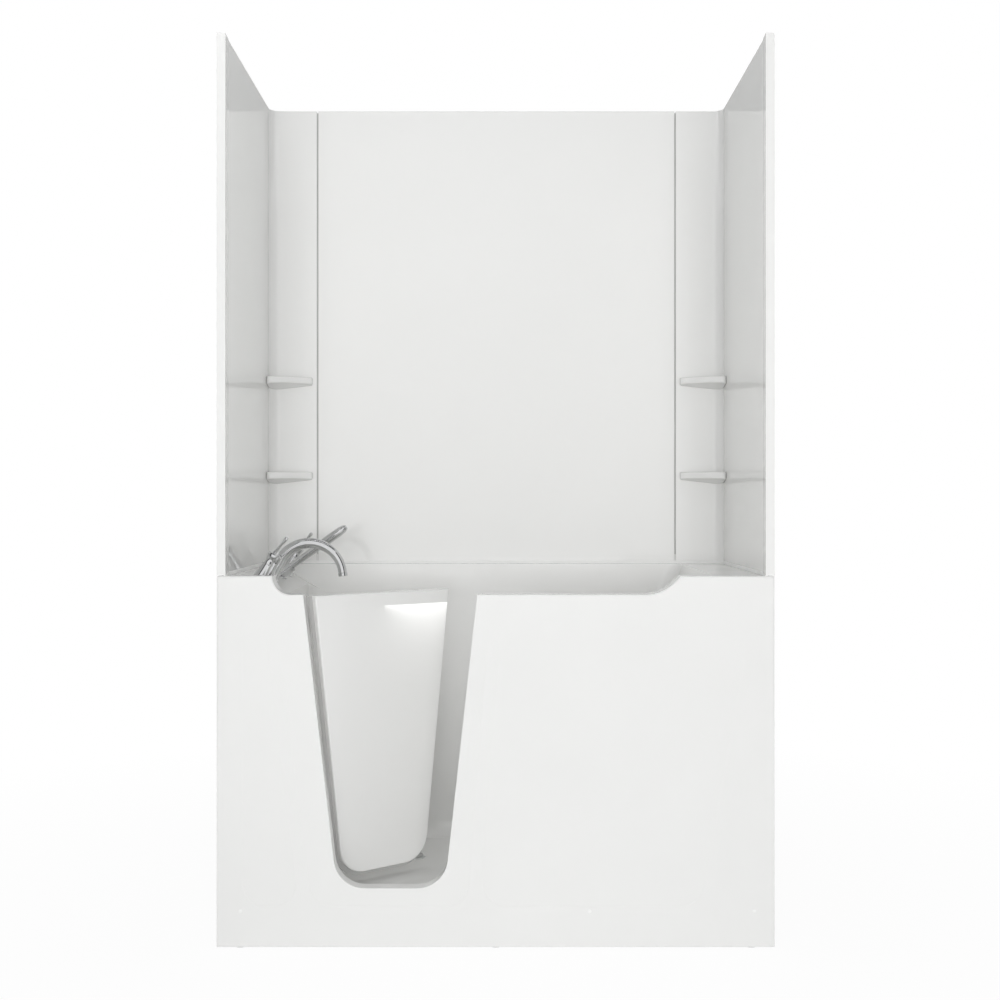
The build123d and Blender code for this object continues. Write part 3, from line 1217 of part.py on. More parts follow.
def pump_motor():
    """Motor behind the pump casing, with its foot, shaft hole and terminal box."""
    start_x = VOLUTE_START_X + VOLUTE_LENGTH
    body = pump_place() * Pos(0, 0, VOLUTE_LENGTH) * (
        post(MOTOR_RADIUS, MOTOR_LENGTH) - post(SHAFT_RADIUS + PIN_CLEARANCE, SHAFT_DEPTH)
    )
    foot_x = start_x + MOTOR_FOOT_INSET
    half = MOTOR_FOOT_WIDTH / 2
    foot = box_between(
        foot_x,
        foot_x + MOTOR_FOOT_LENGTH,
        PUMP_Y - half,
        PUMP_Y + half,
        BOARD_TOP_Z,
        PUMP_Z - MOTOR_RADIUS / 2,
    )
    half_box = TERMINAL_BOX / 2
    middle_x = start_x + MOTOR_LENGTH / 2
    terminals = box_between(
        middle_x - half_box,
        middle_x + half_box,
        PUMP_Y - half_box,
        PUMP_Y + half_box,
        PUMP_Z + MOTOR_RADIUS / 2,
        PUMP_Z + MOTOR_RADIUS + TERMINAL_BOX_RISE,
    )
    hollow = pump_place() * Pos(0, 0, VOLUTE_LENGTH) * post(SHAFT_RADIUS + PIN_CLEARANCE, SHAFT_DEPTH)
    return body + foot + terminals - hollow


def pump_board():
    """Board across two cross rails that carries the motor."""
    half = TUBE / 2
    return box_between(
        CROSS_RAIL_XS[1] - half,
        CROSS_RAIL_XS[2] + half,
        PUMP_Y - BOARD_WIDTH / 2,
        PUMP_Y + BOARD_WIDTH / 2,
        RAIL_TOP_Z,
        BOARD_TOP_Z,
    )


def suction_place():
    """Place on the foot well's riser, with its own Z pointing into the well."""
    return Plane(origin=(SEAT_FRONT_X, PUMP_Y, PUMP_Z), x_dir=(0, 1, 0), z_dir=(-1, 0, 0)).location


def suction_cover():
    """Round grille over the suction inlet, with its neck and nut behind the wall."""
    cover = post(SUCTION_COVER_RADIUS, SUCTION_COVER_DEPTH)
    hole = Pos(SUCTION_HOLE_RING, 0, WALL / 2) * post(SUCTION_HOLE_RADIUS, SUCTION_COVER_DEPTH)
    for index in range(SUCTION_HOLES):
        cover = cover - Rot(0, 0, index * FULL_TURN / SUCTION_HOLES) * hole
        inner = Pos(-SUCTION_HOLE_RING / 2, 0, 0)
        cover = cover - Rot(0, 0, index * FULL_TURN / SUCTION_HOLES) * inner * hole
    neck = Pos(0, 0, -WALL) * post(SUCTION_RADIUS, WALL)
    nut = Pos(0, 0, -WALL - SUCTION_NUT_LENGTH) * post(SUCTION_NUT_RADIUS, SUCTION_NUT_LENGTH)
    return suction_place() * (cover + neck + nut)


def suction_pipe():
    """Straight pipe from the suction nut to the pump inlet."""
    start_x = SEAT_FRONT_X + WALL + SUCTION_NUT_LENGTH
    return rod((start_x, PUMP_Y, PUMP_Z), (VOLUTE_START_X, PUMP_Y, PUMP_Z), SUCTION_RADIUS)


def water_manifold():
    """Pressure pipe from the pump up to the back wall, with a spigot at each jet."""
    up = pipe_run(
        [
            (DISCHARGE_X, PUMP_Y, DISCHARGE_TOP_Z),
            (DISCHARGE_X, PUMP_Y, LOWER_RUN_Z),
            (DISCHARGE_X, MANIFOLD_Y, LOWER_RUN_Z),
            (DISCHARGE_X, MANIFOLD_Y, UPPER_RUN_Z),
            (min(SEAT_JET_XS), MANIFOLD_Y, UPPER_RUN_Z),
        ],
        MANIFOLD_RADIUS,
    )
    lower_start = (DISCHARGE_X, MANIFOLD_Y, LOWER_RUN_Z)
    lower_end = (min(FOOT_JET_XS), MANIFOLD_Y, LOWER_RUN_Z)
    pipes = up + rod(lower_start, lower_end, MANIFOLD_RADIUS)
    for end in (lower_end, (min(SEAT_JET_XS), MANIFOLD_Y, UPPER_RUN_Z)):
        pipes = pipes + Pos(*end) * Sphere(MANIFOLD_RADIUS)
    spigot_y = MANIFOLD_Y - SPIGOT_SHIFT
    for x, z in jet_places():
        run_z = UPPER_RUN_Z if z == SEAT_JET_Z else LOWER_RUN_Z
        pipes = pipes + rod((x, spigot_y, run_z), (x, spigot_y, z), SPIGOT_RADIUS)
        body_end = wall_place(x, z) * Pos(0, 0, -2 * JET_BODY_LENGTH)
        pipes = pipes - body_end * post(JET_BODY_RADIUS, 2 * JET_BODY_LENGTH)
    return pipes


def jet_bodies():
    """Jet housings in the back wall, each with a flat ring and a blind bore."""
    ring = post(JET_RING_RADIUS, JET_RING_THICKNESS)
    body = Pos(0, 0, -JET_BODY_LENGTH) * post(JET_BODY_RADIUS, JET_BODY_LENGTH)
    bore_length = JET_BORE_DEPTH + JET_RING_THICKNESS
    bore = Pos(0, 0, -JET_BORE_DEPTH) * post(NOZZLE_RADIUS + TOUCH_GAP, bore_length)
    return [wall_place(x, z) * (ring + body - bore) for x, z in jet_places()]


def jet_nozzle(x, z):
    """Turning nozzle with an off-centre outlet."""
    length = NOZZLE_DEPTH + JET_RING_THICKNESS + NOZZLE_PROUD
    nozzle = Pos(0, 0, -NOZZLE_DEPTH) * post(NOZZLE_RADIUS, length)
    outlet = Pos(NOZZLE_OUTLET_SHIFT, 0, -NOZZLE_DEPTH / 2) * post(NOZZLE_OUTLET_RADIUS, length)
    return wall_place(x, z) * (nozzle - outlet)


def button_place():
    """Place of the pump button on the inside of the front wall, with its own Z to the back."""
    return Plane(
        origin=(BUTTON_X, WELL_FRONT_Y, BUTTON_Z), x_dir=(1, 0, 0), z_dir=(0, 1, 0)
    ).location


def button_base():
    """Ring and barrel of the pump button."""
    ring = post(BUTTON_RING_RADIUS, JET_RING_THICKNESS)
    barrel = Pos(0, 0, -BUTTON_BARREL_LENGTH) * post(BUTTON_BARREL_RADIUS, BUTTON_BARREL_LENGTH)
    bore_length = BUTTON_BORE_DEPTH + JET_RING_THICKNESS
    bore = Pos(0, 0, -BUTTON_BORE_DEPTH) * post(BUTTON_RADIUS + TOUCH_GAP, bore_length)
    return button_place() * (ring + barrel - bore)


def pump_button():
    """Push button in its barrel."""
    length = BUTTON_DEPTH + JET_RING_THICKNESS + BUTTON_PROUD
    return button_place() * Pos(0, 0, -BUTTON_DEPTH) * post(BUTTON_RADIUS, length)


RAIL_Z = RAIL_BOTTOM_Z + TUBE / 2


def frame_rail(y):
    """Long rail of the frame, with a hole in its underside at each foot."""
    rail = square_tube((-FRAME_HALF_LENGTH, y, RAIL_Z), (FRAME_HALF_LENGTH, y, RAIL_Z))
    for x in FOOT_XS:
        rail = rail - Pos(x, y, RAIL_BOTTOM_Z) * post(STUD_RADIUS, TUBE_WALL)
    return rail


def front_frame_rail():
    """Front rail with an upright tab for each apron screw."""
    rail = frame_rail(FRONT_RAIL_Y)
    rail_face_y = FRONT_RAIL_Y - TUBE / 2
    half = TAB_WIDTH / 2
    for x in CAP_XS:
        tab_top = CAP_Z + TAB_RISE
        rail = rail + box_between(x - half, x + half, APRON_BACK_Y, rail_face_y, RAIL_BOTTOM_Z, tab_top)
        start = (x, APRON_BACK_Y, CAP_Z)
        rail = rail - rod(start, (x, rail_face_y, CAP_Z), SCREW_SHANK_RADIUS)
    return rail


def cross_rails():
    """Rails from front to back: one at each end and three between."""
    end_x = FRAME_HALF_LENGTH - TUBE / 2
    low_y = FRONT_RAIL_Y + TUBE / 2
    high_y = BACK_RAIL_Y - TUBE / 2
    places = (-end_x, *CROSS_RAIL_XS, end_x)
    return [square_tube((x, low_y, RAIL_Z), (x, high_y, RAIL_Z)) for x in places]


def corner_posts():
    """Upright tube in each corner, from the frame to the underside of the deck."""
    x = FRAME_HALF_LENGTH - TUBE / 2
    top = RIM_Z - WALL
    return [
        square_tube((side * x, y, RAIL_TOP_Z), (side * x, y, top))
        for side in (-1, 1)
        for y in (FRONT_RAIL_Y, BACK_RAIL_Y)
    ]


SEAT_RAIL_LOW_Z = SEAT_Z - WALL - TUBE


def seat_legs():
    """Legs under the seat, on two of the cross rails."""
    return [
        square_tube((x, y, RAIL_TOP_Z), (x, y, SEAT_RAIL_LOW_Z))
        for x in CROSS_RAIL_XS[:2]
        for y in SEAT_LEG_YS
    ]


def seat_rails():
    """Rails under the seat, each across two legs."""
    half = TUBE / 2
    z = SEAT_RAIL_LOW_Z + half
    low_y = min(SEAT_LEG_YS) - half
    high_y = max(SEAT_LEG_YS) + half
    return [square_tube((x, low_y, z), (x, high_y, z)) for x in CROSS_RAIL_XS[:2]]


def floor_bearers():
    """Battens across the long rails, under the foot well."""
    half = BEARER_WIDTH / 2
    low_y = FRONT_RAIL_Y - TUBE / 2
    high_y = BACK_RAIL_Y + TUBE / 2
    top = WELL_FLOOR_Z - WALL
    return [box_between(x - half, x + half, low_y, high_y, RAIL_TOP_Z, top) for x in BEARER_XS]


def foot_places():
    """Middle of each levelling foot."""
    return [(x, y) for x in FOOT_XS for y in (FRONT_RAIL_Y, BACK_RAIL_Y)]


def levelling_feet():
    """Round pad and threaded stud, screwed up into the long rails."""
    foot = post(FOOT_PAD_RADIUS, FOOT_PAD_THICKNESS)
    foot = foot + post(STUD_RADIUS, RAIL_BOTTOM_Z + STUD_ENGAGEMENT)
    return [Pos(x, y, 0) * foot for x, y in foot_places()]


def foot_nuts():
    """Lock nut on each stud, tight under the rail."""
    hexagon = RegularPolygon(FOOT_NUT_SIZE / 2, 6, major_radius=False)
    nut = extrude(hexagon, amount=FOOT_NUT_HEIGHT) - post(STUD_RADIUS, FOOT_NUT_HEIGHT)
    return [Pos(x, y, RAIL_BOTTOM_Z - FOOT_NUT_HEIGHT) * nut for x, y in foot_places()]


def all_nodes():
    """Every node by name, each with one solid or a list of them."""
    nodes = {
        "tub_shell": tub_shell(),
        "front_apron": front_apron(),
        "apron_screws": apron_screws(),
        "apron_caps": apron_caps(),
        "door_leaf": door_leaf(),
        "door_gasket": door_gasket(),
        "door_hinge_straps": door_hinge_straps(),
        "hinge_brackets": hinge_brackets(),
        "hinge_pins": hinge_pins(),
        "latch_case": latch_case(),
        "latch_lever": latch_lever(),
        "latch_bolt": swung(latch_bolt_block(0, BOLT_HIGH_X)),
        "latch_keeper": latch_keeper(),
        "back_panel": back_panel(),
        "left_corner_panel": corner_panel(-1),
        "right_corner_panel": corner_panel(1),
        "upper_left_shelf": corner_shelf(-1, UPPER_SHELF_Z),
        "upper_right_shelf": corner_shelf(1, UPPER_SHELF_Z),
        "lower_left_shelf": corner_shelf(-1, LOWER_SHELF_Z),
        "lower_right_shelf": corner_shelf(1, LOWER_SHELF_Z),
        "seam_battens": seam_battens(),
        "sealant_bead": sealant_bead(),
        "tap_bells": [tap_bell(y) for y in (HOT_Y, DIVERTER_Y, COLD_Y)],
        "hot_handle": tap_handle(HOT_Y),
        "cold_handle": tap_handle(COLD_Y),
        "diverter_knob": diverter_knob(),
        "spout": spout(),
        "shower_holder": shower_holder(),
        "hand_shower": hand_shower(),
        "valve_bodies": valve_bodies(),
        "mounting_shanks": mounting_shanks(),
        "supply_pipes": supply_pipes(),
        "drain_body": drain_body(),
        "drain_stopper": drain_stopper(),
        "overflow_plate": overflow_plate(),
        "overflow_knob": overflow_knob(),
        "overflow_pipe": overflow_pipe(),
        "pump_volute": pump_volute(),
        "pump_impeller": pump_impeller(),
        "pump_motor": pump_motor(),
        "pump_board": pump_board(),
        "suction_cover": suction_cover(),
        "suction_pipe": suction_pipe(),
        "water_manifold": water_manifold(),
        "jet_bodies": jet_bodies(),
        "button_base": button_base(),
        "pump_button": pump_button(),
        "front_frame_rail": front_frame_rail(),
        "back_frame_rail": frame_rail(BACK_RAIL_Y),
        "cross_rails": cross_rails(),
        "corner_posts": corner_posts(),
        "seat_legs": seat_legs(),
        "seat_rails": seat_rails(),
        "floor_bearers": floor_bearers(),
        "levelling_feet": levelling_feet(),
        "foot_nuts": foot_nuts(),
    }
    for number, (x, z) in enumerate(jet_places(), start=1):
        nodes[f"jet_nozzle_{number}"] = jet_nozzle(x, z)
    return nodes


os.makedirs("parts", exist_ok=True)
for name, shape in all_nodes().items():
    if isinstance(shape, list):
        shape = Compound(children=[piece for piece in shape])
    export_step(shape, f"parts/{name}.step")
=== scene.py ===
# %% [markdown]
# # A walk-in tub with its wall surround
# The real object is thermoformed white acrylic: one moulding for the tub, a flat apron in front of it,
# a door that opens inwards, and three wall panels with small corner shelves. A row of chrome fittings
# stands on the sloped corner of the rim. The exact solids arrive as a frame, in metres, already in
# place. This script dresses them: soft edges, a better faucet, finishes, light and a camera.
# %% Load the frame
import json
import math

import bmesh
import bpy
from mathutils import Matrix, Vector

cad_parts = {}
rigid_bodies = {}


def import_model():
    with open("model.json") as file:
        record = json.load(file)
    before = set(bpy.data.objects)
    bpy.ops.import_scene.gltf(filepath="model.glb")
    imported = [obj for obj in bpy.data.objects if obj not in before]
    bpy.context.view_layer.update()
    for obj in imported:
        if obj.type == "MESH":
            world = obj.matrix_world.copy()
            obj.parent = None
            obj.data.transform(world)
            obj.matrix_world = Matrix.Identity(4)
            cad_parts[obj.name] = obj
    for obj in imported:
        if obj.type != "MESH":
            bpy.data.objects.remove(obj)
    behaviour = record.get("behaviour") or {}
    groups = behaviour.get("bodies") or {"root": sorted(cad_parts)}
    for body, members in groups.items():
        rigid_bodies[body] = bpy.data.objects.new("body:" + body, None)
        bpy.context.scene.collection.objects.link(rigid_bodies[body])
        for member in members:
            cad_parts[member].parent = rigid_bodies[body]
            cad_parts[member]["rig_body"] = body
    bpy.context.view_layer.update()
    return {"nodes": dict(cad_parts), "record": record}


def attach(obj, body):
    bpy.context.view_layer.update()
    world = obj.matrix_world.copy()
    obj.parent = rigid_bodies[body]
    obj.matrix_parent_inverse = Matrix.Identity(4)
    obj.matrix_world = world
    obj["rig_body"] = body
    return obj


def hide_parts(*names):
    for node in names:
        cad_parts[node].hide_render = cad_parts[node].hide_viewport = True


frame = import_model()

SUBPARTS = frame["record"]["subparts"]
SLOT_OF = {part["node"]: part["material_slot"] for part in SUBPARTS}
BODY_OF = {name: node["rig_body"] for name, node in frame["nodes"].items()}

# %% [markdown]
# ## Camera and light
# The photograph looks straight at the front from about 3.7 m, at a height of 1.22 m. A 49 mm lens on a
# 36 mm sensor gives the same framing. The light is that of a white studio: an even sky, one very large
# soft box in front, a weak one overhead, and a small one that hangs in the foot well and lifts the
# shade there. Camera, mirror and glass rays see plain white, so the chrome has a white room to show.
# %% Camera
CAMERA_PLACE = (0.012, -4.097, 1.224)
LENS_MM = 49.0
SENSOR_MM = 36.0
scene = bpy.context.scene
camera = bpy.data.objects.new("camera", bpy.data.cameras.new("camera"))
scene.collection.objects.link(camera)
scene.camera = camera
camera.data.lens = LENS_MM
camera.data.sensor_width = SENSOR_MM
camera.location = CAMERA_PLACE
camera.rotation_euler = (math.radians(90), 0, 0)
scene.view_settings.view_transform = "Standard"
print("camera at", tuple(camera.location), "with a", camera.data.lens, "mm lens")


# %% Shader sums in plain Python
LIGHT_PATH = "ShaderNodeLightPath"


class Wire:
    """One output socket. Python's own operators add the Math nodes."""

    def __init__(self, finish, socket):
        self.finish = finish
        self.socket = socket

    def sum(self, operation, first, second):
        return self.finish.node("ShaderNodeMath", {"operation": operation}, {0: first, 1: second})

    def __add__(self, other):
        return self.sum("ADD", self, other)

    __radd__ = __add__

    def __mul__(self, other):
        return self.sum("MULTIPLY", self, other)

    __rmul__ = __mul__

    def __sub__(self, other):
        return self.sum("SUBTRACT", self, other)

    def __rsub__(self, other):
        return self.sum("SUBTRACT", other, self)


class Finish:
    """A node tree that is wired up line by line."""

    def __init__(self, tree):
        self.tree = tree
        tree.nodes.clear()

    def node(self, kind, settings, sockets, out=0):
        """Add a node: its settings first, then the values or links of its sockets."""
        made = self.tree.nodes.new(kind)
        for name, value in settings.items():
            if name == "stops":
                ramp = made.color_ramp
                for index, (place, shade) in enumerate(value):
                    stop = ramp.elements[index] if index < 2 else ramp.elements.new(place)
                    stop.position = place
                    stop.color = (*shade, 1.0)
            else:
                setattr(made, name, value)
        for name, value in sockets.items():
            if isinstance(value, Wire):
                self.tree.links.new(value.socket, made.inputs[name])
            else:
                made.inputs[name].default_value = value
        return Wire(self, made.outputs[out]) if made.outputs else None

    def seen_directly(self):
        """1 for camera, mirror and glass rays, 0 for the rays that light things."""
        share = self.node(LIGHT_PATH, {}, {}, out="Is Camera Ray")
        share = share + self.node(LIGHT_PATH, {}, {}, out="Is Glossy Ray")
        return share + self.node(LIGHT_PATH, {}, {}, out="Is Transmission Ray")

    def mixed(self, mask, first, second):
        """Blend two colours by a mask from 0 to 1."""
        return self.node(
            "ShaderNodeMix", {"data_type": "RGBA"}, {0: mask, 6: first, 7: second}, out=2
        )


print("shader helpers are ready")

# %% The white room
SKY_COLOUR = (0.98, 0.99, 1, 1)
SKY_STRENGTH = 0.36
world = bpy.data.worlds.new("white_room")
scene.world = world
world.use_nodes = True
room = Finish(world.node_tree)
seen = room.seen_directly()
white = room.node("ShaderNodeBackground", {}, {"Color": (1, 1, 1, 1), "Strength": 1.0})
dim_sky = {"Color": SKY_COLOUR, "Strength": SKY_STRENGTH}
sky = room.node("ShaderNodeBackground", {}, dim_sky)
shown = room.node("ShaderNodeMixShader", {}, {0: seen, 1: sky, 2: white})
room.node("ShaderNodeOutputWorld", {}, {"Surface": shown})


def soft_box(name, place, aim, wide, high, watts):
    """Hang a large soft lamp at a place and point it at another."""
    lamp = bpy.data.objects.new(name, bpy.data.lights.new(name, "AREA"))
    scene.collection.objects.link(lamp)
    lamp.data.shape = "RECTANGLE"
    lamp.data.size = wide
    lamp.data.size_y = high
    lamp.data.energy = watts
    lamp.location = place
    lamp.rotation_euler = (Vector(aim) - Vector(place)).to_track_quat("-Z", "Y").to_euler()
    return lamp


front_box = soft_box("front_box", (0.0, -6.2, 1.65), (0, 0, 1.25), 4.6, 2.2, 205)
top_box = soft_box("top_box", (-0.4, -1.2, 5.6), (0, 0, 1.0), 3.0, 2.2, 3)
well_fill = soft_box("well_fill", (-0.28, 0.02, 0.92), (-0.28, 0.02, 0.0), 0.4, 0.4, 0.6)
for lamp in (front_box, top_box, well_fill):
    lamp.visible_glossy = False
    lamp.visible_camera = False
print("lamps:", [(lamp.name, round(lamp.data.energy, 2)) for lamp in (front_box, top_box, well_fill)])

# %% [markdown]
# ## Finishes
# No finish is one flat colour. Acrylic has a faint cloudiness, a slow ripple from the vacuum forming
# and a fine peel, and its gloss is a little duller where hands and sponges pass. Each recipe reads
# Object coordinates, which are metres on the object, so a scale of 100 makes marks about 1 cm wide.
# The recipes share one helper for noise, because that is what every one of them starts from.
# %% Helpers for finishes
FINISHES = {}


def start_finish(name):
    """A new material with an empty tree, kept by its name."""
    FINISHES[name] = bpy.data.materials.new(name)
    FINISHES[name].use_nodes = True
    return Finish(FINISHES[name].node_tree)


def cloud(finish, scale, detail=3.0, rough=0.5, stretch=(1, 1, 1)):
    """Noise on the object's own metres, drawn out along the axes whose stretch is small."""
    place = finish.node("ShaderNodeTexCoord", {}, {}, out="Object")
    if stretch != (1, 1, 1):
        place = finish.node("ShaderNodeMapping", {}, {"Vector": place, "Scale": stretch})
    sockets = {"Vector": place, "Scale": scale, "Detail": detail, "Roughness": rough}
    return finish.node("ShaderNodeTexNoise", {}, sockets)


def band(finish, value, low, high):
    """Stretch the part of a value from low to high over 0 to 1."""
    sockets = {"Value": value, "From Min": low, "From Max": high}
    return finish.node("ShaderNodeMapRange", {"clamp": True}, sockets)


def bumped(finish, height, depth, strength=1.0, under=None):
    """A Bump node of a given depth in metres, over an earlier one if there is one."""
    sockets = {"Height": height, "Distance": depth, "Strength": strength}
    if under is not None:
        sockets["Normal"] = under
    return finish.node("ShaderNodeBump", {}, sockets)


def surface(finish, **sockets):
    """Close a finish with the Principled shader; underscores stand for spaces."""
    named = {name.replace("_", " "): value for name, value in sockets.items()}
    shader = finish.node("ShaderNodeBsdfPrincipled", {}, named)
    finish.node("ShaderNodeOutputMaterial", {}, {"Surface": shader})


print("noise, bump and surface helpers are ready")


# %% Polished acrylic
def acrylic(name, pale, deep, gloss, wear, ripple, polish):
    """Thermoformed sheet: cloudy colour, slow ripple, fine peel and wiped patches."""
    sheet = start_finish(name)
    colour = sheet.mixed(band(sheet, cloud(sheet, 1.7, 4), 0.3, 0.7), deep, pale)
    wiped = band(sheet, cloud(sheet, 5.0, 6, 0.6), 0.4, 0.75)
    scuffs = band(sheet, cloud(sheet, 60.0, 3, 0.6, (1, 1, 0.08)), 0.62, 0.8)
    rough = gloss + wiped * wear + scuffs * wear
    waves = bumped(sheet, cloud(sheet, 3.2, 1.0), ripple)
    peel = bumped(sheet, cloud(sheet, 260.0, 2.0), 0.00004, 0.5, waves)
    surface(
        sheet,
        Base_Color=colour,
        Roughness=rough,
        IOR=1.49,
        Coat_Weight=polish,
        Coat_Roughness=0.01,
        Normal=peel,
    )


SHEET_PALE = (0.865, 0.865, 0.852, 1)
acrylic("tub_acrylic", SHEET_PALE, (0.845, 0.845, 0.832, 1), 0.10, 0.035, 0.0012, 0.0)
acrylic("wall_acrylic", SHEET_PALE, (0.850, 0.850, 0.837, 1), 0.008, 0.008, 0.0002, 0.7)
print("acrylic finishes:", [name for name in FINISHES])


# %% Chrome, steel and brass
def metal(name, pale, deep, low, high, grain, stretch, depth):
    """Metal: smudges change the gloss, and a drawn-out grain gives brushed or turned marks."""
    plate = start_finish(name)
    smudge = band(plate, cloud(plate, 24.0, 5, 0.6), 0.35, 0.7)
    marks = cloud(plate, grain, 4, 0.6, stretch)
    colour = plate.mixed(smudge * 0.7 + marks * 0.3, pale, deep)
    rough = low + smudge * (high - low) * 0.6 + marks * (high - low) * 0.4
    relief = bumped(plate, marks, depth, 0.6)
    surface(plate, Base_Color=colour, Metallic=1.0, Roughness=rough, Normal=relief)


EVEN = (1, 1, 1)
BRUSHED = (0.05, 0.05, 1)
LATHED = (0.1, 0.1, 1)
CHROME = (0.70, 0.705, 0.71, 1), (0.60, 0.605, 0.61, 1)
STAINLESS = (0.62, 0.62, 0.61, 1), (0.50, 0.50, 0.50, 1)
BRASS = (0.72, 0.55, 0.27, 1), (0.50, 0.36, 0.17, 1)
metal("chrome_plate", *CHROME, 0.03, 0.09, 90, EVEN, 0.00002)
metal("brushed_stainless", *STAINLESS, 0.24, 0.42, 420, BRUSHED, 0.00006)
metal("turned_brass", *BRASS, 0.22, 0.45, 500, LATHED, 0.00005)
print("metals are ready")


# %% Plastics, rubber, paint and board
def moulded(name, pale, deep, low, high, grain, depth):
    """Moulded or painted skin: two tones, an even grain and duller rubbed patches."""
    skin = start_finish(name)
    tone = band(skin, cloud(skin, 9.0, 4, 0.55), 0.3, 0.7)
    grit = cloud(skin, grain, 2, 0.5)
    colour = skin.mixed(tone * 0.6 + grit * 0.4, pale, deep)
    rough = low + tone * (high - low)
    surface(skin, Base_Color=colour, Roughness=rough, Normal=bumped(skin, grit, depth, 0.7))


moulded("white_moulding", (0.84, 0.84, 0.83, 1), (0.79, 0.79, 0.78, 1), 0.16, 0.30, 600, 0.00004)
moulded("seal_rubber", (0.55, 0.55, 0.54, 1), (0.44, 0.44, 0.43, 1), 0.55, 0.75, 900, 0.00008)
moulded("pipe_plastic", (0.78, 0.79, 0.78, 1), (0.68, 0.69, 0.68, 1), 0.30, 0.45, 350, 0.00005)
moulded("casing_plastic", (0.035, 0.036, 0.04, 1), (0.06, 0.06, 0.065, 1), 0.38, 0.60, 1100, 0.00010)
moulded("powder_coat", (0.10, 0.105, 0.115, 1), (0.15, 0.155, 0.165, 1), 0.35, 0.55, 800, 0.00012)


def pressed_board(name):
    """Board of pressed fibres: flecks of several tones, drawn out along the board."""
    board = start_finish(name)
    fibres = cloud(board, 130.0, 6, 0.7, (0.25, 1, 1))
    stops = [(0.32, (0.23, 0.16, 0.10)), (0.68, (0.55, 0.44, 0.31)), (0.5, (0.40, 0.30, 0.20))]
    colour = board.node("ShaderNodeValToRGB", {"stops": stops}, {"Fac": fibres})
    rough = 0.62 + fibres * 0.25
    surface(board, Base_Color=colour, Roughness=rough, Normal=bumped(board, fibres, 0.0003, 0.6))


pressed_board("fibre_board")
SLOT_FINISH = {
    "white_acrylic": "tub_acrylic",
    "white_trim": "white_moulding",
    "grey_seal": "seal_rubber",
    "chrome": "chrome_plate",
    "brushed_steel": "brushed_stainless",
    "brass": "turned_brass",
    "grey_pipe": "pipe_plastic",
    "black_plastic": "casing_plastic",
    "painted_frame": "powder_coat",
    "composite_board": "fibre_board",
}
PANEL_NODES = {"back_panel", "left_corner_panel", "right_corner_panel"}
for name, node in frame["nodes"].items():
    chosen = "wall_acrylic" if name in PANEL_NODES else SLOT_FINISH[SLOT_OF[name]]
    node.data.materials.clear()
    node.data.materials.append(FINISHES[chosen])
print(len(FINISHES), "finishes on", len(frame["nodes"]), "solids")

# %% [markdown]
# ## Cards for the chrome
# Chrome only shows what stands round it. A white room alone makes it look like grey paint, so a bright
# strip and some black cards hang overhead and at the sides. A pale grey card behind the object dims
# what the tops of the side walls mirror. Only mirror rays see the cards: the camera, the light and the
# shadows pass straight through.
# %% Bright strip and black cards
strip = soft_box("bright_strip", (-0.3, -0.62, 2.95), (-0.3, -0.04, 1.13), 1.6, 0.10, 1.6)
strip.visible_camera = False
black = start_finish("black_card")
surface(black, Base_Color=(0.03, 0.03, 0.03, 1), Roughness=0.9)
grey = start_finish("grey_card")
surface(grey, Base_Color=(0.78, 0.78, 0.77, 1), Roughness=0.9)


def card(name, corners, finish="black_card"):
    """A flat card that only mirror rays see."""
    form = bmesh.new()
    bmesh.ops.contextual_create(form, geom=[form.verts.new(corner) for corner in corners])
    mesh = bpy.data.meshes.new(name)
    form.to_mesh(mesh)
    form.free()
    mesh.materials.append(FINISHES[finish])
    sheet = bpy.data.objects.new(name, mesh)
    scene.collection.objects.link(sheet)
    sheet.visible_camera = False
    sheet.visible_diffuse = False
    sheet.visible_transmission = False
    sheet.visible_shadow = False


def level(near_y, near_z, far_y, far_z, half=1.6):
    """Corners of a card that hangs overhead, from its front edge to its back edge."""
    front = [(-half, near_y, near_z), (half, near_y, near_z)]
    return front + [(half, far_y, far_z), (-half, far_y, far_z)]


def upright(x):
    """Corners of a card that stands beside the object."""
    return [(x, -2.6, 0.4), (x, -1.0, 0.4), (x, -1.0, 2.9), (x, -2.6, 2.9)]


card("ceiling_card", level(-0.48, 2.95, 0.30, 2.75))
card("high_card", level(-2.30, 3.75, -0.80, 2.98))
card("right_card", upright(1.45))
card("left_card", upright(-1.45))
card("back_card", level(0.9, 2.2, 0.9, 5.0, 1.2), "grey_card")
print("strip and cards hang round the chrome")

# %% [markdown]
# ## Soft edges
# A moulding has no knife edge. The solids keep theirs sharp, so each one that shows gets a copy: its
# loose triangles are merged, flat areas become single faces again, and a bevel operator rounds what is
# left. A bevel catches light along the edge, which is what makes the door rim and the shelves read.
# Outward edges take the full radius, and inward ones a smaller one, so nothing swells into a gap.
# %% Helpers for pieces
SEAM_Y = -0.3758
RIM = 1.016
SMOOTH_BELOW = math.radians(34)
SAME_POINT = 0.00001
SAME_PLANE = math.radians(0.5)


def finished(form, name, body, finish, stands_for=()):
    """Make an object from a bmesh, smooth it, give it its finish and let it ride on its body."""
    bmesh.ops.recalc_face_normals(form, faces=form.faces)
    mesh = bpy.data.meshes.new(name)
    for face in form.faces:
        face.smooth = True
    for edge in form.edges:
        if len(edge.link_faces) == 2:
            edge.smooth = edge.calc_face_angle(0) < SMOOTH_BELOW
    form.to_mesh(mesh)
    form.free()
    piece = bpy.data.objects.new(name, mesh)
    scene.collection.objects.link(piece)
    mesh.materials.append(FINISHES[finish])
    even = piece.modifiers.new("even_normals", "WEIGHTED_NORMAL")
    even.keep_sharp = True
    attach(piece, body)
    if stands_for:
        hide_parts(*stands_for)
    return piece


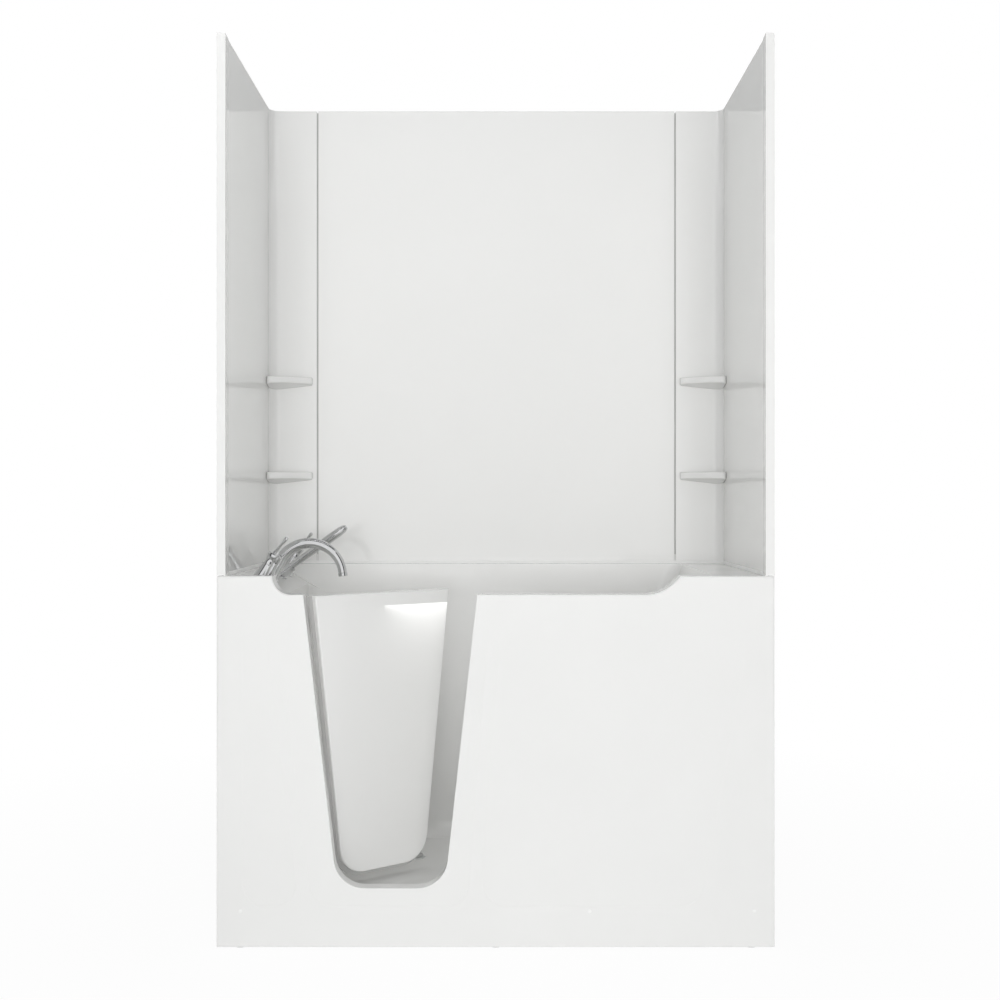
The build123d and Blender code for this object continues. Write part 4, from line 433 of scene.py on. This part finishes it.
def made_whole(form):
    """Join the faces that lie in one plane."""
    bmesh.ops.dissolve_limit(
        form, angle_limit=SAME_PLANE, verts=form.verts, edges=form.edges, delimit=set()
    )
    return form


def merged(node):
    """A bmesh of a solid's mesh, with its triangles joined and its flat areas whole."""
    form = bmesh.new()
    form.from_mesh(frame["nodes"][node].data)
    bmesh.ops.remove_doubles(form, verts=form.verts, dist=SAME_POINT)
    return made_whole(form)


def on_seam(edge):
    """Whether an edge lies where the tub's rim meets the back of the apron."""
    return all(vert.co.y < SEAM_Y for vert in edge.verts)


def rounded(form, radius, hollow_radius, segments=3, above=28.0):
    """Bevel the edges that turn by more than an angle: outward ones, then inward ones."""
    for size, outward in ((radius, True), (hollow_radius, False)):
        edges = [
            edge
            for edge in form.edges
            if len(edge.link_faces) == 2
            and edge.calc_face_angle(0) > math.radians(above)
            and edge.is_convex == outward
            and not on_seam(edge)
        ]
        if size and edges:
            bmesh.ops.bevel(
                form,
                geom=edges,
                affect="EDGES",
                offset=size,
                offset_type="OFFSET",
                segments=segments,
                profile=0.5,
                clamp_overlap=True,
                material=-1,
            )
    return form


def soft_copy(node, radius, hollow_radius=0.0, segments=3, finish=None):
    """A rounded copy of a solid that stands for it."""
    form = rounded(merged(node), radius, hollow_radius, segments)
    slot = SLOT_OF[node]
    chosen = finish or SLOT_FINISH[slot]
    return finished(form, node + "_soft", BODY_OF[node], chosen, (node,))


print("helpers for soft copies are ready")

# %% Mouldings
SHELF_EDGE = (0.004, 0.0, 3)
MOULDINGS = {
    "tub_shell": (0.005, 0.004, 3),
    "door_leaf": (0.0015, 0.0, 2),
    "door_gasket": (0.0005, 0.0, 2),
    "upper_left_shelf": SHELF_EDGE,
    "upper_right_shelf": SHELF_EDGE,
    "lower_left_shelf": SHELF_EDGE,
    "lower_right_shelf": SHELF_EDGE,
}
for node, (radius, hollow_radius, segments) in MOULDINGS.items():
    piece = soft_copy(node, radius, hollow_radius, segments)
    print(piece.name, len(piece.data.polygons), "faces")
for node in sorted(PANEL_NODES):
    piece = soft_copy(node, 0.002, 0.0, 3, finish="wall_acrylic")
    print(piece.name, len(piece.data.polygons), "faces")

# %% [markdown]
# The apron's outline is the rim and the doorway, and the photograph shows a rounded band along both.
# Rings are inset round the flat front, and the outer ones sink back along a quarter ellipse. The same
# rings make the faint sunk panels fade in, while the bottom edge stays crisp. The recesses of the screw
# caps would collide with the rings, so they are filled first, and domed caps are set there later.
# %% Apron
APRON_FACE = -0.380
SUNK_FACE = -0.379
RINGS = ((0.0010, 0.55), (0.0022, 0.18), (0.0034, 0.0))
BAND_DEPTH = 0.0034
PANEL_DEPTH = 0.0009
PANEL_TOP = 0.85
PANEL_FADE = 0.45
CRISP_DEPTH = 0.0010
CAP_XS = (-0.697, 0.257, 0.707)
CAP_HEIGHT = 0.101
RECESS_RADIUS = 0.0062
FACE_SLACK = 0.0003
BORDER_SLACK = 0.0007
POINT_SLACK = 0.0001
CRISP_BELOW = 0.02
LEAST_FADE = 0.03
RING_MERGE = 0.00008
apron = merged("front_apron")
recesses = [
    face
    for face in apron.faces
    if any(
        all(
            math.hypot(vert.co.x - x, vert.co.z - CAP_HEIGHT) < RECESS_RADIUS
            for vert in face.verts
        )
        for x in CAP_XS
    )
]
bmesh.ops.delete(apron, geom=recesses, context="FACES")
bmesh.ops.holes_fill(apron, edges=[edge for edge in apron.edges if edge.is_boundary], sides=0)
bmesh.ops.recalc_face_normals(apron, faces=apron.faces)
made_whole(apron)
flat = [
    face
    for face in apron.faces
    if face.normal.y < -0.99 and abs(face.calc_center_median().y - APRON_FACE) < FACE_SLACK
]


def spot_of(vert):
    """Where a point stands on the front, rounded so that it can be looked up."""
    return round(vert.co.x, 5), round(vert.co.z, 5)


def sink_of(vert):
    """How far a point of the front's border sinks back."""
    depths = (face.calc_center_median().y - SUNK_FACE for face in vert.link_faces)
    if any(abs(depth) < BORDER_SLACK for depth in depths):
        return PANEL_DEPTH
    return CRISP_DEPTH if vert.co.z < CRISP_BELOW else BAND_DEPTH


def fade_of(vert):
    """Share of the full depth: the sunk panels fade out towards their tops."""
    on_panel = abs(vert.co.y - SUNK_FACE) < POINT_SLACK or spot_of(vert) in panel_spots
    below_top = (PANEL_TOP - vert.co.z) / PANEL_FADE
    return min(1.0, max(LEAST_FADE, below_top)) if on_panel else 1.0


inside = set(flat)
edges = {edge for face in flat for edge in face.edges if not inside.issuperset(edge.link_faces)}
sinks = {spot_of(vert): sink_of(vert) for edge in edges for vert in edge.verts}
sunk = dict(sinks)
panel_spots = {spot for spot, depth in sinks.items() if depth == PANEL_DEPTH}
for width, share in RINGS:
    made = bmesh.ops.inset_region(
        apron, faces=flat, thickness=width, depth=0.0, use_even_offset=True, use_boundary=True
    )
    fresh = {}
    for edge in {edge for face in made["faces"] for edge in face.edges}:
        near, far = (spot_of(vert) for vert in edge.verts)
        if near in sinks and far not in sinks:
            fresh[far] = sinks[near]
        if far in sinks and near not in sinks:
            fresh[near] = sinks[far]
    sunk.update({spot: depth * share for spot, depth in fresh.items()})
    panel_spots |= {spot for spot, depth in fresh.items() if depth == PANEL_DEPTH}
    sinks = fresh
rim = [
    edge
    for edge in {edge for face in flat for edge in face.edges}
    if not inside.issuperset(edge.link_faces)
]
bmesh.ops.delete(apron, geom=flat, context="FACES_KEEP_BOUNDARY")
bmesh.ops.triangle_fill(apron, edges=rim, use_beauty=True, use_dissolve=False, normal=(0, -1, 0))
for vert in apron.verts:
    if abs(vert.co.y - APRON_FACE) < POINT_SLACK:
        vert.co.y += sunk.get(spot_of(vert), 0.0) * fade_of(vert)
    elif abs(vert.co.y - SUNK_FACE) < POINT_SLACK:
        vert.co.y = APRON_FACE + (SUNK_FACE - APRON_FACE) * fade_of(vert)
bmesh.ops.remove_doubles(apron, verts=apron.verts, dist=RING_MERGE)
finished(apron, "front_apron_soft", "tub", "tub_acrylic", ("front_apron",))
print("apron:", len(sunk), "points on the rings")

# %% Hardware and plumbing
HARDWARE = {
    "door_hinge_straps": 0.0006,
    "hinge_brackets": 0.0006,
    "hinge_pins": 0.0004,
    "latch_case": 0.0015,
    "latch_lever": 0.0012,
    "latch_bolt": 0.0006,
    "latch_keeper": 0.0005,
    "diverter_knob": 0.0010,
    "shower_holder": 0.0010,
    "overflow_plate": 0.0010,
    "overflow_knob": 0.0010,
    "drain_stopper": 0.0010,
    "drain_body": 0.0006,
    "overflow_pipe": 0.0006,
    "suction_cover": 0.0008,
    "suction_pipe": 0.0006,
    "water_manifold": 0.0006,
    "jet_bodies": 0.0010,
    "jet_nozzle_1": 0.0008,
    "jet_nozzle_2": 0.0008,
    "jet_nozzle_3": 0.0008,
    "jet_nozzle_4": 0.0008,
    "button_base": 0.0010,
    "pump_button": 0.0010,
    "pump_volute": 0.0015,
    "pump_motor": 0.0015,
    "valve_bodies": 0.0008,
    "supply_pipes": 0.0006,
    "levelling_feet": 0.0008,
    "foot_nuts": 0.0006,
}
for node, radius in HARDWARE.items():
    soft_copy(node, radius, 0.0, 2)
print(len(HARDWARE), "hardware and plumbing nodes have soft copies")

# %% [markdown]
# The sealant is a soft strip that runs along the left wall, round both coves and along the right wall.
# One profile, proud at the deck and thin up the wall, is placed at each point of that path and bridged.
# %% Sealant
BEAD_FACE_X = 0.7417
BEAD_BACK_Y = 0.3710
BEAD_FRONT_Y = -0.3760
COVE = 0.035
COVE_STEPS = 8
BEAD_PROFILE = (
    (-0.0020, 0.0002),
    (0.0052, 0.0002),
    (0.0046, 0.0022),
    (0.0022, 0.0058),
    (0.0002, 0.0092),
    (-0.0020, 0.0092),
)
moulded("white_sealant", (0.93, 0.93, 0.92, 1), (0.89, 0.89, 0.88, 1), 0.35, 0.5, 500, 0.00005)
path_points = [(BEAD_FACE_X, BEAD_FRONT_Y, 0.0)]
for step in range(COVE_STEPS + 1):
    turn = math.radians(90) * step / COVE_STEPS
    across = BEAD_FACE_X - COVE + COVE * math.cos(turn)
    path_points.append((across, BEAD_BACK_Y - COVE + COVE * math.sin(turn), turn))
path_points += [(-x, y, math.pi - turn) for x, y, turn in reversed(path_points)]
bead = bmesh.new()
rows = []
for x, y, turn in path_points:
    out = Vector((math.cos(turn), math.sin(turn)))
    rows.append(
        [
            bead.verts.new((x - out.x * proud, y - out.y * proud, RIM + height))
            for proud, height in BEAD_PROFILE
        ]
    )
loops = [[bead.edges.new((row[i - 1], row[i])) for i in range(len(row))] for row in rows]
for near, far in zip(loops, loops[1:]):
    bmesh.ops.bridge_loops(bead, edges=near + far)
for end in (loops[0], loops[-1]):
    bmesh.ops.contextual_create(bead, geom=end)
piece = finished(bead, "sealant_strip", "tub", "white_sealant", ("sealant_bead",))
print(piece.name, len(piece.data.polygons), "faces")

# %% [markdown]
# ## The faucet set
# The fittings stand on a face that slopes by 30 degrees towards the water. Each is built upright round
# its own axis, where spinning and lofting are simple, and a matrix then sets it on the slope. Bells and
# hubs are turned, so a spun outline makes them; the spout and the hand shower change their section all
# the way, so rings are placed along the path and bridged, one pair after the other.
# %% Helpers for turned and lofted pieces
SLOPE = math.radians(30)
SLOPE_PLACE = Vector((-0.672624, 0.0, 0.991534))


def on_slope(y):
    """Matrix that sets an upright fitting on the sloped face at a given depth."""
    place = Matrix.Translation((SLOPE_PLACE.x, y, SLOPE_PLACE.z))
    return place @ Matrix.Rotation(SLOPE, 4, "Y")


def turned(form, outline, place, steps=56):
    """Spin an outline of (radius, height) points full round the upright axis."""
    points = [form.verts.new((radius, 0, height)) for radius, height in outline]
    lines = [form.edges.new(pair) for pair in zip(points, points[1:])]
    made = bmesh.ops.spin(
        form,
        geom=points + lines,
        cent=(0, 0, 0),
        axis=(0, 0, 1),
        angle=math.tau,
        steps=steps,
        use_merge=True,
    )
    verts = {v for item in made["geom_last"] for v in getattr(item, "verts", [item])}
    fresh = set(points)
    edge_of = list(fresh | verts)
    while edge_of:
        grown = {e.other_vert(v) for v in edge_of for e in v.link_edges} - fresh
        fresh |= grown
        edge_of = list(grown)
    bmesh.ops.transform(form, matrix=place, verts=list(fresh))
    bmesh.ops.remove_doubles(form, verts=[v for v in form.verts if v.is_valid], dist=0.000002)


def ring(form, place, wide, thick, sides=40):
    """Edges of an ellipse across a path."""
    shape = place @ Matrix.Diagonal((wide, thick, 1, 1))
    made = bmesh.ops.create_circle(form, segments=sides, radius=1.0, matrix=shape)
    return list({edge for vert in made["verts"] for edge in vert.link_edges})


def lofted(form, sections, sides=40):
    """Bridge ellipses (place, wide, thick) one after the other and close both ends."""
    rings = [ring(form, place, wide, thick, sides) for place, wide, thick in sections]
    for near, far in zip(rings, rings[1:]):
        bmesh.ops.bridge_loops(form, edges=near + far)
    for end in (rings[0], rings[-1]):
        bmesh.ops.contextual_create(form, geom=end)


print("turning and lofting helpers are ready")

# %% Screw caps
CAP_DOME = [
    (0.0, 0.0009),
    (0.0020, 0.0008),
    (0.0038, 0.0005),
    (0.0050, 0.0001),
    (0.0054, -0.0008),
    (0.0, -0.0008),
]
moulded("cap_white", (0.95, 0.95, 0.94, 1), (0.92, 0.92, 0.91, 1), 0.14, 0.22, 500, 0.00003)
caps = bmesh.new()
for x in CAP_XS:
    spot = Matrix.Translation((x, APRON_FACE, CAP_HEIGHT))
    turned(caps, CAP_DOME, spot @ Matrix.Rotation(math.radians(90), 4, "X"), 32)
piece = finished(caps, "screw_caps", "tub", "cap_white", ("apron_caps",))
print(piece.name, len(piece.data.polygons), "faces")

# %% Bells and lever handles
BELL = [
    (0.0, 0.0),
    (0.0270, 0.0),
    (0.0270, 0.0022),
    (0.0258, 0.0036),
    (0.0228, 0.0085),
    (0.0198, 0.0165),
    (0.0176, 0.0260),
    (0.0158, 0.0370),
    (0.0144, 0.0480),
    (0.0134, 0.0575),
    (0.0128, 0.0600),
    (0.0, 0.0600),
]
HUB = [
    (0.0, 0.0603),
    (0.0138, 0.0603),
    (0.0146, 0.0612),
    (0.0142, 0.0650),
    (0.0128, 0.0690),
    (0.0118, 0.0735),
    (0.0124, 0.0790),
    (0.0146, 0.0830),
    (0.0158, 0.0875),
    (0.0150, 0.0920),
    (0.0118, 0.0950),
    (0.0060, 0.0962),
    (0.0, 0.0963),
]
LEVER_LEAN = math.radians(22)
LEVER_TURN = math.radians(-60)
LEVER_ROOT = 0.0905
LEVER = [
    (0.0, -0.004),
    (0.0075, -0.004),
    (0.0060, 0.006),
    (0.0044, 0.016),
    (0.0036, 0.030),
    (0.0037, 0.044),
    (0.0047, 0.056),
    (0.0058, 0.062),
    (0.0055, 0.066),
    (0.0036, 0.0690),
    (0.0, 0.0700),
]
HOT_Y = -0.261
COLD_Y = 0.239
DIVERTER_Y = -0.151


def lever_handle(name, y):
    """Hub with a collar and a thin lever that thickens to a rounded tip."""
    form = bmesh.new()
    turned(form, HUB, Matrix.Identity(4))
    lean = Matrix.Rotation(LEVER_TURN, 4, "Z") @ Matrix.Rotation(LEVER_LEAN, 4, "Y")
    turned(form, LEVER, Matrix.Translation((0, 0, LEVER_ROOT)) @ lean, 28)
    bmesh.ops.transform(form, matrix=on_slope(y), verts=form.verts)
    return finished(form, name + "_lever", name, "chrome_plate", (name,))


bells = bmesh.new()
for y in (HOT_Y, DIVERTER_Y, COLD_Y):
    turned(bells, BELL, on_slope(y))
finished(bells, "fitting_bells", "tub", "chrome_plate", ("tap_bells",))
for name, y in (("hot_handle", HOT_Y), ("cold_handle", COLD_Y)):
    piece = lever_handle(name, y)
    print(piece.name, len(piece.data.polygons), "faces")

# %% Arched spout
SPOUT_Y = -0.041
STRAIGHT = 0.0635
BEND = 0.099
BEND_ANGLE = math.radians(144)
STEPS = 30
SPOUT_FOOT = ((0.0, 0.0265), (0.003, 0.0265), (0.005, 0.0245), (0.010, 0.0215), (0.030, 0.0188))
SPOUT_RADIUS = 0.0170
SPOUT_TAPER = 0.0046
SPOUT_WIDER = 1.02
SPOUT_TIP = (
    (0.0010, 0.0134),
    (0.0016, 0.0138),
    (0.0095, 0.0138),
    (0.0100, 0.0132),
    (0.0100, 0.0108),
    (0.0020, 0.0104),
)


def spout_place(turn):
    """Matrix of the spout's section after a turn round the bend."""
    centre = Matrix.Translation((BEND, 0, STRAIGHT))
    return centre @ Matrix.Rotation(turn, 4, "Y") @ Matrix.Translation((-BEND, 0, 0))


spout = bmesh.new()
sections = []
for height, radius in SPOUT_FOOT:
    sections.append((Matrix.Translation((0, 0, height)), radius, radius))
for step in range(STEPS + 1):
    share = step / STEPS
    radius = SPOUT_RADIUS - SPOUT_TAPER * share
    sections.append((spout_place(BEND_ANGLE * share), radius * SPOUT_WIDER, radius))
tip = spout_place(BEND_ANGLE)
for along, radius in SPOUT_TIP:
    sections.append((tip @ Matrix.Translation((0, 0, along)), radius, radius))
lofted(spout, sections)
bmesh.ops.transform(spout, matrix=on_slope(SPOUT_Y), verts=spout.verts)
piece = finished(spout, "arched_spout", "tub", "chrome_plate", ("spout",))
print(piece.name, len(piece.data.polygons), "faces")

# %% Hand shower
SHOWER_Y = 0.109
WAND_LEAN = math.radians(54.5)
wand_root = Matrix.Translation((SLOPE_PLACE.x, SHOWER_Y, SLOPE_PLACE.z))
wand_place = wand_root @ Matrix.Rotation(WAND_LEAN, 4, "Y")
WAND = [
    (0.0223, 0.0100, 0.0100),
    (0.0240, 0.0108, 0.0108),
    (0.0700, 0.0106, 0.0106),
    (0.1200, 0.0112, 0.0110),
    (0.1420, 0.0135, 0.0118),
    (0.1600, 0.0175, 0.0128),
    (0.1820, 0.0208, 0.0136),
    (0.2050, 0.0226, 0.0140),
    (0.2280, 0.0226, 0.0138),
    (0.2450, 0.0205, 0.0122),
    (0.2550, 0.0160, 0.0092),
    (0.2586, 0.0100, 0.0056),
]
wand = bmesh.new()
lofted(wand, [(Matrix.Translation((0, 0, along)), thick, wide) for along, wide, thick in WAND])
bmesh.ops.transform(wand, matrix=wand_place, verts=wand.verts)
piece = finished(wand, "hand_shower_body", "hand_shower", "chrome_plate", ("hand_shower",))
print(piece.name, len(piece.data.polygons), "faces")

# %% [markdown]
# ## The floor
# The floor is a large pale sheet under the feet. It keeps the tub's soft shadow, and the camera and
# mirror rays see it a little lighter than it is, so that it meets the white room without a line.
# %% Floor
FLOOR_SIZE = 60.0
FLOOR_GLOW = 0.96
floor_form = bmesh.new()
bmesh.ops.create_grid(floor_form, x_segments=1, y_segments=1, size=FLOOR_SIZE)
floor_mesh = bpy.data.meshes.new("studio_floor")
floor_form.to_mesh(floor_mesh)
floor_form.free()
floor = bpy.data.objects.new("studio_floor", floor_mesh)
scene.collection.objects.link(floor)
paper = start_finish("studio_paper")
seen = paper.seen_directly()
tone = paper.mixed(cloud(paper, 0.8, 3), (0.90, 0.90, 0.90, 1), (0.93, 0.93, 0.93, 1))
matt = paper.node("ShaderNodeBsdfPrincipled", {}, {"Base Color": tone, "Roughness": 0.9})
glow = paper.node("ShaderNodeEmission", {}, {"Color": (1, 1, 1, 1), "Strength": 1.0})
spot = paper.node("ShaderNodeTexCoord", {}, {}, out="Object")
reach = paper.node("ShaderNodeVectorMath", {"operation": "LENGTH"}, {0: spot}, out="Value")
far = band(paper, reach, 1.0, 3.0)
share = seen * (FLOOR_GLOW + far * (1.0 - FLOOR_GLOW))
lifted = paper.node("ShaderNodeMixShader", {}, {0: share, 1: matt, 2: glow})
paper.node("ShaderNodeOutputMaterial", {}, {"Surface": lifted})
floor_mesh.materials.append(FINISHES["studio_paper"])
print("floor laid")
